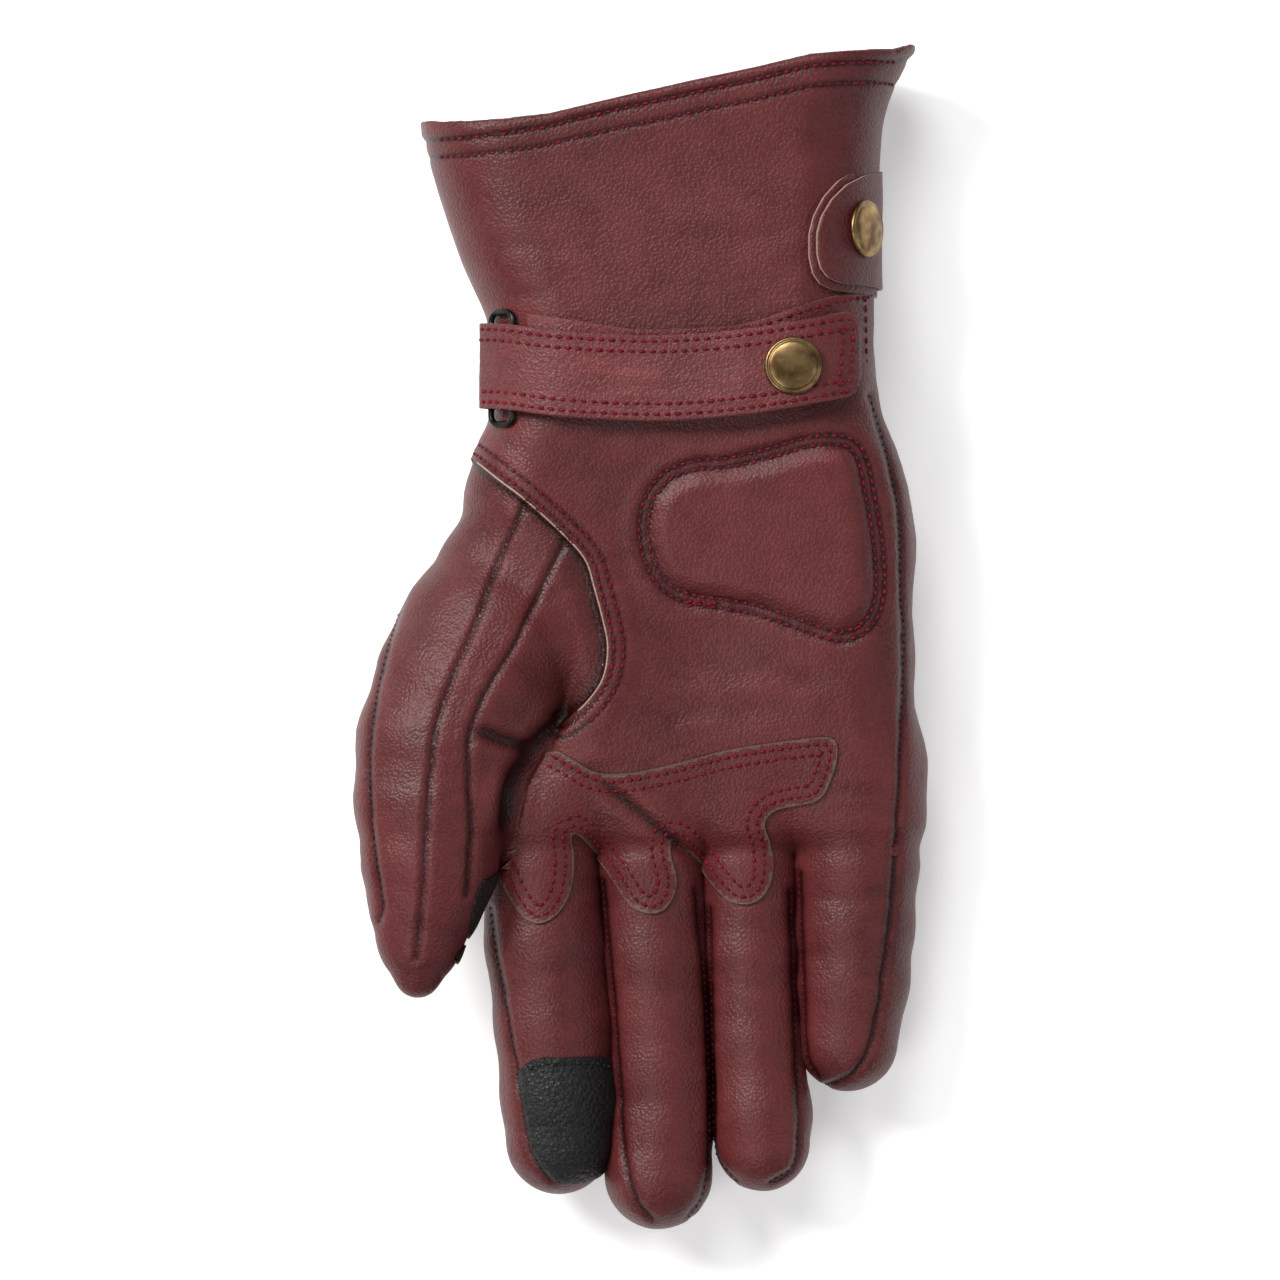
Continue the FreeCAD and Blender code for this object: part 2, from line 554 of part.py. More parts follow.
def ring_and_keeper():
    path = rounded("ring_path", "ring_span", "ring_long", "ring_corner",
                   across=f"{RING_X} + ring_span / 2 * cos ( ring_pitch )", along="strap_along",
                   up=f"{RING_Z} + ring_span / 2 * sin ( ring_pitch )", pitch="0 - ring_pitch")
    wire = primitive("Circle", "ring_wire_section", dict(across=RING_X, along="strap_along", up=RING_Z,
                                                         roll="90"), Radius="ring_wire")
    sweep = doc.addObject("Part::Sweep", "ring_sweep")
    sweep.Sections = [wire]
    sweep.Spine = (path, [f"Edge{number}" for number in range(1, 9)])
    sweep.Solid = True
    node("wrist_ring", sweep)

    block = primitive("Box", "keeper_block", dict(across="0 - keeper_width / 2",
                                                  along="0 - keeper_long / 2", up="0 - keeper_bottom"),
                      Length="keeper_width", Width="keeper_long", Height="keeper_bottom + keeper_top")
    bar = primitive("Cylinder", "keeper_bar", dict(along="keeper_long", roll="90"),
                    Radius="ring_wire + keeper_clearance", Height="2 * keeper_long")
    keeper = cut("keeper_loop", block, bar)
    node("ring_keeper", place(keeper, across=f"{RING_X} + ring_span * cos ( ring_pitch )",
                              along="strap_along", up=f"{RING_Z} + ring_span * sin ( ring_pitch )",
                              pitch="0 - keeper_angle"))


# ---- cuff tab -------------------------------------------------------------------------------

TAB_X = "cuff_mid_across + cuff_mid_half_width - cuff_mid_half_depth"
TAB_SEAT = "cuff_mid_half_depth"
TAB_UNDER = f"{TAB_SEAT} + tab_space"
TAB_FACE = f"{TAB_UNDER} + 2 * tab_layer + tab_ply_gap"


def tab_ply(name, inner, outer):
    centre = dict(across=TAB_X, along="tab_along + tab_width / 2", up="cuff_mid_up", roll="90")
    return cut(name, primitive("Cylinder", f"{name}_out", centre, Radius=outer, Height="tab_width"),
               primitive("Cylinder", f"{name}_in", centre, Radius=inner, Height="tab_width"))


def tab_outline(name, trim):
    """Tab seen from above: a rounded tongue whose root runs out past the edge of the cuff."""
    width = f"2 * ( tab_reach + tab_overhang - ( {trim} ) )"
    sketch = rounded(f"{name}_outline", width, f"tab_width - 2 * ( {trim} )", f"tab_corner - ( {trim} )",
                     across=f"{TAB_X} + {TAB_UNDER} + tab_overhang", along="tab_along",
                     up="cuff_mid_up - tab_overhang")
    return extrude(name, sketch, f"{REACH}")


def tab():
    def where(radius):
        return on_arc(TAB_X, "cuff_mid_up", radius, "tab_snap_turn", "tab_along")

    hole = press_stud("tab_snap", TAB_SEAT, "tab_space", "2 * tab_layer + tab_ply_gap", where)
    middle = f"{TAB_UNDER} + tab_layer"
    inner = common("tab_inner_shape", tab_ply("tab_inner_ply", TAB_UNDER, middle),
                   tab_outline("tab_inner_limit", "0"))
    node("tab_inner", cut("tab_inner_holed", inner, hole))
    outer = common("tab_outer_shape", tab_ply("tab_outer_ply", f"{middle} + tab_ply_gap", TAB_FACE),
                   tab_outline("tab_outer_limit", "tab_edge"))
    node("tab_outer", cut("tab_outer_holed", outer, hole))
    anchor_zone = primitive("Box", "anchor_zone",
                            dict(across=TAB_X, along=f"{-REACH / 2}",
                                 up="cuff_mid_up - tab_overhang - tab_cut - tab_anchor"),
                            Length=f"{REACH}", Width=f"{REACH}", Height="tab_anchor")
    anchor_ply = tab_ply("anchor_ply", f"{TAB_SEAT} + tab_cut", f"{TAB_SEAT} + tab_cut + tab_space")
    node("tab_anchor", common("anchor_strip", anchor_ply, anchor_zone))


thumb_hole = thumb_base()
hand(thumb_hole)
back_pad()
cuff()
stalls()
strap()
ring_and_keeper()
tab()
doc.recompute()

for thing in doc.Objects:
    if "Invalid" in thing.State or "Error" in thing.State:
        raise RuntimeError(f"{thing.Name} did not build: {thing.State}")
for thing in nodes:
    if thing.Shape.isNull() or not thing.Shape.isValid() or not thing.Shape.Solids:
        raise RuntimeError(f"{thing.Label} has no valid solid")

os.makedirs("parts", exist_ok=True)
for thing in nodes:
    thing.Shape.exportStep(f"parts/{thing.Label}.step")
    print(f"{thing.Label:28s} {len(thing.Shape.Solids)} solid, {thing.Shape.Volume:9.1f} mm3")
print(len(nodes), "nodes")
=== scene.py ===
import json
import math

import bpy
import numpy as np
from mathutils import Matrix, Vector
from mathutils.bvhtree import BVHTree

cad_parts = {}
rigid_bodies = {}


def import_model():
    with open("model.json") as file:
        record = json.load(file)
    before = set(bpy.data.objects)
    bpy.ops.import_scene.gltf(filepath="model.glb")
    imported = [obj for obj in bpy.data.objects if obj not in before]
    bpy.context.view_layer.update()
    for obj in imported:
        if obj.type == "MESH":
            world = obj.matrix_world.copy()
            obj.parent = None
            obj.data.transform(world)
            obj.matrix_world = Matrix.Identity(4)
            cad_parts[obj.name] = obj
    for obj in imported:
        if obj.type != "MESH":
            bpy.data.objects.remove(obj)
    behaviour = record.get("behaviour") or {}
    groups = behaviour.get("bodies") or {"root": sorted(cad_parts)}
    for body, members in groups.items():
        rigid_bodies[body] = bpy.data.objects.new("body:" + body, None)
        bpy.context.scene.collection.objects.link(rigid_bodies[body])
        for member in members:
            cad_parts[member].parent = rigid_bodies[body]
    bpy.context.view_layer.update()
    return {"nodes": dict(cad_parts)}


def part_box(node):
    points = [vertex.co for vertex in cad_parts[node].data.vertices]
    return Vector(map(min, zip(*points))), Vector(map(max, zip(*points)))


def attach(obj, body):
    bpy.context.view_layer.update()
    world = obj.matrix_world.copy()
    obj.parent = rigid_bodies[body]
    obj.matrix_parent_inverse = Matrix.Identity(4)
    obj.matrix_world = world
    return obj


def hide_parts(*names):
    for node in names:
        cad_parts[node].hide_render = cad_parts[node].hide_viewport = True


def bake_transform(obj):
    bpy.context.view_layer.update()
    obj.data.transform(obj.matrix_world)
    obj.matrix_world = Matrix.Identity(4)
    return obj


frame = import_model()
MM = 0.001


# ---- the table, the light and the camera --------------------------------------------------
# The glove lies palm up on a pale table, seen straight from above with the cuff at the top.
# A key light and a top light stand behind the cuff, with weaker ones in front and on the right.

FLOOR_SIZE = 4.0
FLOOR_GLOW = 0.32
DAYLIGHT = 0.20
SENSOR_WIDTH = 36
VIEW_HEIGHT = 1.15
VIEW_WIDTH = 0.2855
MIDDLE_HEIGHT = 0.025


def new_object(name, vertices, faces, edges=()):
    """A mesh object from points in metres."""
    mesh = bpy.data.meshes.new(name)
    mesh.from_pydata([tuple(v) for v in vertices], list(edges), [tuple(f) for f in faces])
    mesh.update()
    thing = bpy.data.objects.new(name, mesh)
    bpy.context.scene.collection.objects.link(thing)
    return thing


def area_light(name, place, size, power, tint):
    data = bpy.data.lights.new(name, "AREA")
    data.shape = "DISK"
    data.size = size
    data.energy = power
    data.color = tint
    lamp = bpy.data.objects.new(name, data)
    lamp.location = place
    lamp.rotation_euler = (-Vector(place)).to_track_quat("-Z", "Y").to_euler()
    bpy.context.scene.collection.objects.link(lamp)


half = FLOOR_SIZE / 2
floor = new_object("table_top", [(-half, -half, 0), (half, -half, 0), (half, half, 0), (-half, half, 0)],
                   [(0, 1, 2, 3)])
floor_paint = bpy.data.materials.new("pale_table")
floor_paint.use_nodes = True
floor_shader = floor_paint.node_tree.nodes["Principled BSDF"]
floor_shader.inputs["Base Color"].default_value = (0.86, 0.86, 0.86, 1)
floor_shader.inputs["Roughness"].default_value = 0.9
floor_shader.inputs["Emission Color"].default_value = (1, 1, 1, 1)
floor_shader.inputs["Emission Strength"].default_value = FLOOR_GLOW
floor.data.materials.append(floor_paint)

world = bpy.data.worlds.new("studio")
bpy.context.scene.world = world
world.use_nodes = True
world.node_tree.nodes["Background"].inputs["Color"].default_value = (1, 1, 1, 1)
world.node_tree.nodes["Background"].inputs["Strength"].default_value = DAYLIGHT
area_light("key_light", (-0.75, 0.55, 0.95), 0.45, 17.0, (1, 0.99, 0.97))
area_light("top_light", (-0.15, 0.9, 1.2), 0.6, 8.5, (1, 1, 1))
area_light("front_light", (-0.4, -0.5, 1.0), 0.5, 3.4, (1, 0.99, 0.98))
area_light("fill_light", (0.9, -0.3, 0.9), 0.9, 2.5, (0.97, 0.98, 1))

camera_data = bpy.data.cameras.new("camera")
camera_data.sensor_width = SENSOR_WIDTH
camera_data.lens = SENSOR_WIDTH * (VIEW_HEIGHT - MIDDLE_HEIGHT) / VIEW_WIDTH
camera = bpy.data.objects.new("camera", camera_data)
camera.location = (0, 0, VIEW_HEIGHT)
bpy.context.scene.collection.objects.link(camera)
bpy.context.scene.camera = camera
bpy.context.scene.view_settings.view_transform = "Standard"


# ---- the leather glove ---------------------------------------------------------------------
# Palm, back, finger stalls, thumb and cuff are soft oxblood goatskin, sewn inside out and turned.
# The shape is a smooth skin round a hand: one long body with five round stalls let into it.

STEP = 0.72

# Body: place along the hand, left and right edge, underside and palm side, all in mm.
BODY = np.array([
    (134.0, -54.4, 62.6, -0.5, 46.0),
    (124.0, -51.6, 57.0, 0.0, 45.5),
    (116.0, -49.2, 54.2, 0.3, 44.2),
    (104.0, -46.3, 53.6, 1.2, 42.8),
    (91.0, -42.2, 52.2, 1.8, 42.2),
    (80.0, -38.2, 51.4, 2.2, 42.0),
    (72.0, -33.6, 51.6, 2.9, 42.0),
    (50.0, -33.2, 53.6, 3.0, 42.0),
    (43.0, -36.8, 57.2, 3.0, 40.6),
    (34.0, -39.8, 60.0, 3.0, 38.8),
    (20.0, -36.0, 61.2, 3.0, 37.2),
    (5.0, -26.0, 61.0, 2.9, 36.0),
    (-12.0, -19.5, 61.2, 2.8, 35.0),
    (-22.0, -22.0, 61.8, 2.8, 34.0),
    (-32.0, -27.5, 62.6, 3.6, 31.8),
    (-42.0, -32.5, 62.6, 5.0, 29.6),
    (-52.0, -35.0, 62.2, 7.0, 26.6),
])[::-1]
BODY_SMOOTHING = 9
KNUCKLE_END = -45.5

# Stalls: points of each spine and the radius there, from inside the hand to the tip.
STALLS = {
    "index_finger": ((-21.8, -28, 16.6, 11.8), (-22.2, -50, 16.8, 13.1), (-21.2, -68, 17.0, 13.4),
                     (-19.5, -86, 17.2, 13.0), (-18.5, -102, 17.4, 12.6), (-18.2, -112.4, 17.8, 11.9)),
    "middle_finger": ((2.6, -28, 16.8, 10.6), (2.5, -50, 17.0, 11.9), (3.4, -70, 17.2, 11.7),
                      (4.8, -96, 17.4, 11.3), (5.0, -109, 17.6, 11.3), (4.1, -120.0, 18.2, 12.1)),
    "ring_finger": ((24.5, -28, 16.8, 9.8), (24.3, -50, 17.0, 10.5), (24.8, -70, 17.2, 10.3),
                    (25.9, -90, 17.4, 10.2), (27.2, -106, 17.8, 11.1), (27.4, -112.9, 18.0, 10.6)),
    "little_finger": ((48.4, -28, 17.0, 13.4), (48.5, -50, 17.0, 13.9), (48.2, -64, 17.0, 13.3),
                      (47.8, -76, 17.2, 12.6), (46.7, -90.0, 17.6, 11.2)),
    "thumb": ((-29.0, 27, 19.0, 9.0), (-30.0, 13, 21.0, 16.5), (-33.5, 0, 23.0, 20.8),
              (-38.0, -11, 26.0, 20.9), (-43.8, -23, 28.6, 18.8), (-46.0, -36, 30.2, 17.2),
              (-46.8, -49, 31.6, 15.0), (-47.9, -58, 32.6, 12.1), (-48.8, -67, 33.4, 9.2),
              (-49.2, -74, 34.0, 5.2)),
}
STALL_DEPTH = {"thumb": 0.86}
FINGERS = [name for name in STALLS if name != "thumb"]
HEM_EDGE = ((-54.0, 116.4), (-49.5, 115.7), (-44.0, 114.6), (-38.0, 114.2), (-30.0, 114.5), (-20.0, 115.7),
            (-5.0, 119.1), (13.6, 123.1), (25.0, 125.5), (37.0, 128.4), (48.0, 129.6), (56.0, 130.5),
            (61.0, 132.6))
CUFF_WALL = 2.3
CAVITY_END = 30.0
TABLE_GAP = 0.06


def smooth_column(values, places, at):
    """Piecewise values along the hand, smoothed so that no station shows as a kink."""
    dense = np.arange(places[0] - 20, places[-1] + 20, 1.0)
    rough = np.interp(dense, places, values)
    kernel = np.hanning(2 * BODY_SMOOTHING + 1)
    padded = np.pad(rough, BODY_SMOOTHING, mode="edge")
    return np.interp(at, dense, np.convolve(padded, kernel / kernel.sum(), "valid"))


def soft_min(a, b, reach):
    overlap = np.maximum(reach - np.abs(a - b), 0) / np.maximum(reach, 1e-6)
    return np.minimum(a, b) - overlap ** 2 * reach / 4


def round_box(x, z, left, right, low, high, corner):
    radius = (high - low) / 2 * corner
    across = np.abs(x - (left + right) / 2) - ((right - left) / 2 - radius)
    up = np.abs(z - (low + high) / 2) - ((high - low) / 2 - radius)
    outside = np.hypot(np.maximum(across, 0), np.maximum(up, 0))
    return outside + np.minimum(np.maximum(across, up), 0) - radius


def stall_distance(points, spine, depth):
    best = np.full(len(points), 1e3)
    squeeze = np.array([1, 1, 1 / depth])
    for start, end in zip(spine[:-1], spine[1:]):
        a = np.array(start[:3])
        span = np.array(end[:3]) - a
        share = np.clip((points - a) @ span / (span @ span), 0, 1)
        share = share * share * (3 - 2 * share) * 0.35 + share * 0.65
        away = (points - a - share[:, None] * span) * squeeze
        radius = start[3] + (end[3] - start[3]) * share
        best = soft_min(best, np.linalg.norm(away, axis=1) - radius, 2.0)
    return best


def body_distance(points, edges):
    left, right, low, high = edges
    x, y, z = points.T
    skin = round_box(x, z, left, right, low, high, 0.93)
    hollow = 1.9 * np.exp(-((x - 12) / 17) ** 2 - ((y + 6) / 17) ** 2) * (z > 20)
    skin = skin + hollow
    return -soft_min(-skin, y - KNUCKLE_END, 9.0)


def glove_distance(points, fingers=FINGERS, with_thumb=True, finger_end=-200.0):
    """Signed distance, in mm, to the smooth leather skin with its open cuff."""
    x, y, z = points.T
    edges = [smooth_column(BODY[:, column], BODY[:, 0], y) for column in range(1, 5)]
    hand = body_distance(points, edges)
    total = hand.copy()
    thumb_near = (x < 5) & (y < 45) & with_thumb
    if thumb_near.any():
        thumb = stall_distance(points[thumb_near], STALLS["thumb"], STALL_DEPTH["thumb"])
        reach = np.interp(y[thumb_near], (-15, -1), (0.4, 6.5))
        total[thumb_near] = soft_min(hand[thumb_near], thumb, reach)
    base = total.copy()
    for name in fingers:
        spine = STALLS[name]
        near = (y < -8) & (y > finger_end) & (np.abs(x - spine[1][0]) < 24)
        if near.any():
            stall = stall_distance(points[near], spine, 0.96)
            reach = np.interp(y[near], (-52, -42), (0.4, 8.0))
            total[near] = np.minimum(total[near], soft_min(base[near], stall, reach))
    hem = (y - np.interp(x, *np.array(HEM_EDGE).T)) * 0.985
    left, right, low, high = edges
    wall = CUFF_WALL
    cavity = round_box(x, z, left + wall, right - wall, low + wall, high - wall, 0.9)
    cavity = np.maximum(cavity, CAVITY_END - y)
    closed = -soft_min(-total, -hem, 0.7)
    return -soft_min(-closed, cavity, 1.0)


def lattice(low, high, step):
    return [np.arange(low[axis], high[axis] + step, step) for axis in range(3)]


def surface_net(distance, low, high, step):
    """Quad mesh of the zero level of a distance function, one vertex to each crossed cell."""
    xs, ys, zs = lattice(low, high, step)
    field = np.empty((len(xs), len(ys), len(zs)), np.float32)
    for row, y in enumerate(ys):
        gx, gz = np.meshgrid(xs, zs, indexing="ij")
        points = np.stack([gx.ravel(), np.full(gx.size, y), gz.ravel()], axis=1)
        field[:, row, :] = distance(points).reshape(gx.shape)
    inside = field < 0
    cells = np.zeros([n - 1 for n in field.shape], np.int16)
    total = np.zeros(cells.shape + (3,), np.float32)
    corners = [(i, j, k) for i in (0, 1) for j in (0, 1) for k in (0, 1)]

    def part(array, corner):
        return array[corner[0]:array.shape[0] - 1 + corner[0], corner[1]:array.shape[1] - 1 + corner[1],
                     corner[2]:array.shape[2] - 1 + corner[2]]

    for first in corners:
        for axis in range(3):
            if first[axis]:
                continue
            second = tuple(1 if axis == k else first[k] for k in range(3))
            a, b = part(field, first), part(field, second)
            crossed = (a < 0) != (b < 0)
            share = np.where(crossed, a / np.where(crossed, a - b, 1), 0)
            cells += crossed
            for k in range(3):
                total[..., k] += np.where(crossed, first[k] + (share if k == axis else 0), 0)
    used = cells > 0
    index = np.full(cells.shape, -1, np.int64)
    index[used] = np.arange(used.sum())
    offset = total[used] / cells[used][:, None]
    base = np.argwhere(used)
    vertices = (base + offset) * step + np.array([xs[0], ys[0], zs[0]])
    quads = []
    for axis in range(3):
        u, v = [(1, 2), (2, 0), (0, 1)][axis]
        lower = [slice(1, n - 1) for n in field.shape]
        upper = list(lower)
        lower[axis] = slice(0, field.shape[axis] - 1)
        upper[axis] = slice(1, field.shape[axis])
        a, b = inside[tuple(lower)], inside[tuple(upper)]
        where = np.argwhere(a != b)
        flip = a[a != b]
        start = [1, 1, 1]
        start[axis] = 0
        cell = where + np.array(start)
        step_u, step_v = np.zeros(3, int), np.zeros(3, int)
        step_u[u], step_v[v] = 1, 1
        ring = [cell - step_u - step_v, cell - step_v, cell, cell - step_u]
        quad = np.stack([index[tuple(c.T)] for c in ring], axis=1)
        quad[~flip] = quad[~flip][:, ::-1]
        quads.append(quad)
    return vertices, np.concatenate(quads)


def gradient(distance, points, reach=0.25):
    slope = np.empty_like(points)
    for axis in range(3):
        shift = np.zeros(3)
        shift[axis] = reach
        slope[:, axis] = distance(points + shift) - distance(points - shift)
    return slope / np.maximum(np.linalg.norm(slope, axis=1), 1e-9)[:, None]



def smooth_line(points, spacing=0.8):
    """A drawn line through given points, rounded by a Catmull-Rom curve and evenly spaced."""
    p = np.array(points, float)
    ends = np.vstack([2 * p[0] - p[1], p, 2 * p[-1] - p[-2]])
    t = np.linspace(0, 1, 13)[:-1, None]
    runs = []
    for a, b, c, d in zip(ends[:-3], ends[1:-2], ends[2:-1], ends[3:]):
        runs.append(0.5 * (2 * b + (c - a) * t + (2 * a - 5 * b + 4 * c - d) * t ** 2
                           + (3 * b - a - 3 * c + d) * t ** 3))
    dense = np.vstack(runs + [p[-1:]])
    length = np.concatenate([[0], np.cumsum(np.linalg.norm(np.diff(dense, axis=0), axis=1))])
    at = np.linspace(0, length[-1], max(int(length[-1] / spacing), 2) + 1)
    return np.stack([np.interp(at, length, dense[:, k]) for k in range(dense.shape[1])], axis=1)


def line_distance(points, line, reach):
    """Distance to a drawn line, place along it and side of it (+ on the left), seen from above."""
    away = np.full(len(points), 1e3)
    along = np.zeros(len(points))
    side = np.ones(len(points))
    low, high = line.min(axis=0) - reach, line.max(axis=0) + reach
    near = np.flatnonzero(((points[:, :2] > low) & (points[:, :2] < high)).all(axis=1))
    if not len(near):
        return away, along, side
    start = 0.0
    flat = points[near, :2]
    best, place, turn = away[near], along[near], side[near]
    for a, b in zip(line[:-1], line[1:]):
        span = b - a
        size = np.linalg.norm(span)
        share = np.clip((flat - a) @ span / (size * size), 0, 1)
        gap = flat - a - share[:, None] * span
        d = np.linalg.norm(gap, axis=1)
        closer = d < best
        best[closer] = d[closer]
        place[closer] = start + share[closer] * size
        turn[closer] = np.sign(span[0] * gap[closer, 1] - span[1] * gap[closer, 0] + 1e-9)
        start += size
    away[near], along[near], side[near] = best, place, turn
    return away, along, side


def shifted(line, offset):
    """The same line moved sideways, to its left where offset is positive."""
    slope = np.gradient(line, axis=0)
    slope /= np.linalg.norm(slope, axis=1)[:, None]
    return line + np.stack([-slope[:, 1], slope[:, 0]], axis=1) * offset


def step_up(low, high, at):
    """Smooth step from 0 at low to 1 at high."""
    share = np.clip((at - low) / (high - low), 0, 1)
    return share * share * (3 - 2 * share)


def ripple(points, scale, seed):
    """Soft noise from -1 to 1 at a given wavelength, by blending a seeded random lattice."""
    cell = points / scale + 64
    corner = np.floor(cell).astype(int)
    share = cell - corner
    share = share * share * (3 - 2 * share)
    table = np.random.default_rng(seed).uniform(-1, 1, 4096)
    total = 0
    for i in (0, 1):
        for j in (0, 1):
            for k in (0, 1):
                node = corner + (i, j, k)
                key = (node[:, 0] * 73 + node[:, 1] * 179 + node[:, 2] * 283) % 4096
                weight = np.prod(np.where((i, j, k), share, 1 - share), axis=1)
                total = total + table[key] * weight
    return total


# Lines sewn or creased on the palm side: x and y in mm, from the cuff towards the fingertips.
SEAMS = {
    "palm_edge": ((51, 54), (53.5, 46), (55.5, 38), (57, 31), (57.8, 22), (58, 10), (58.8, 2), (58.6, -10),
                  (58, -22), (57.6, -32), (57, -45), (56.2, -58), (54.6, -71), (53, -82), (51, -91),
                  (47, -97), (41, -100)),
    "thumb_front": ((-25.5, 29.8), (-31, 18), (-36, 4), (-41.5, -9), (-44.5, -18), (-46.2, -31),
                    (-47, -44), (-48, -58), (-49.2, -70)),
    "thumb_inner": ((-16.5, 22), (-21, 13), (-27, 0), (-33.5, -11), (-37.2, -20), (-37.4, -31),
                    (-37, -42), (-38, -56)),
    "thumb_outer": ((-52.5, 11), (-56, -2), (-58.4, -13), (-59.6, -27), (-59.4, -36), (-58.4, -47),
                    (-56.8, -58), (-57.6, -62)),
    "index_outer": ((-33.5, -60), (-32.4, -69), (-30.6, -78), (-28.9, -88), (-27, -97), (-26, -105),
                    (-24, -114), (-20, -120)),
    "middle_outer": ((-8.4, -54), (-7, -69), (-5.6, -83), (-4.6, -99), (-3.6, -114), (-1, -124), (2.6, -129)),
    "middle_inner": ((12.4, -56), (13.6, -67), (14.8, -83), (15.4, -99), (15.4, -115), (14, -124),
                     (11, -129)),
    "ring_outer": ((15.4, -60), (16, -80), (16.4, -98), (16.6, -112), (18, -117), (21.4, -121)),
    "ring_inner": ((33.6, -56), (34, -67), (34.6, -83), (35, -97), (35.4, -110), (34, -117.5), (29, -121)),
    "little_outer": ((35.6, -52), (36, -66), (36.6, -80), (37.4, -93), (40, -98)),
}
SEAM_DEPTH = {"thumb_front": 0.6, "thumb_inner": 0.6, "thumb_outer": 0.5, "palm_edge": 0.7}
HEEL_PAD = ((5.5, 37), (1.2, 31.5), (-0.2, 25), (0.6, 19), (3, 13.5), (6.4, 10), (11.5, 8), (18, 7),
            (25, 5.8), (32, 3.6), (39, 1), (44.5, -0.4), (49, 1), (52.4, 4.6), (54, 10), (54, 17),
            (53.2, 24.5), (51.8, 32), (50, 40), (47.2, 44), (42.5, 45), (36, 44.3), (28, 42), (19, 40),
            (12, 39.4))
THUMB_HOLE = ((-40.5, 41.5), (-37, 39.6), (-31.5, 35.2), (-25.5, 30.6), (-17.5, 23.4), (-12.4, 17.6),
              (-10.4, 11.5), (-8.4, 4), (-7.4, -2), (-8.6, -8.6), (-12.4, -14), (-17, -18))
HEM_ROW_PLACES = (-54, -15, 61)
HEM_ROWS = ((4.4, 2.8, 2.8), (8.0, 6.8, 7.2))
CREASES = (
    # line, depth, half width
    (((-11, -30), (-5, -34), (1, -39), (7, -44), (13, -49)), 2.6, 1.4),
    (((-22, -27), (-15, -29), (-8, -29), (0, -31)), 0.9, 1.6),
    (((-36, 66), (-31, 64.5), (-27, 60)), 0.6, 1.6),
    (((-42, 88), (-34, 86.5), (-24, 87), (-14, 85)), 0.5, 1.8),
    (((-39, 78), (-28, 76), (-16, 76.5)), 0.5, 1.6),
    (((10, 90), (22, 88), (32, 90), (38, 94)), 0.35, 2.2),
    (((40, -34), (47, -33.4), (54, -34), (60, -32)), 0.55, 1.3),
    (((41, -38.5), (49, -37), (57, -38.6)), 0.4, 1.2),
    (((-38, -19.2), (-34, -20.4), (-29, -22.4), (-24.5, -23.2), (-21, -21.6)), 2.4, 1.4),
    (((-12, -12.5), (-17, -17), (-21.5, -21.5), (-26, -27), (-28.5, -33), (-29.5, -40), (-31, -49)),
     3.6, 1.7),
    (((-45, -25), (-40, -24), (-36, -21)), 0.6, 1.1),
    (((-30, 3), (-24, 6), (-18, 12)), 0.5, 1.4),
    (((-12, 42), (-2, 46), (8, 45.6)), 0.45, 1.8),
    (((-4, 52), (8, 47.5), (22, 47), (34, 49)), 0.4, 1.6),
    (((10, -4), (22, -7), (36, -8), (48, -11)), 0.45, 2.6),
    (((-2, -14), (12, -16), (30, -15), (46, -18)), 0.45, 2.4),
    (((-26, -73), (-19, -74), (-11, -72.5)), 0.3, 1.2),
    (((-4, -77), (4, -78.5), (12, -77)), 0.3, 1.2),
    (((18, -76), (26, -77), (33, -75)), 0.3, 1.2),
    (((38, -56), (46, -58), (54, -56)), 0.3, 1.2),
)
PUCKER_REACH = 4.5


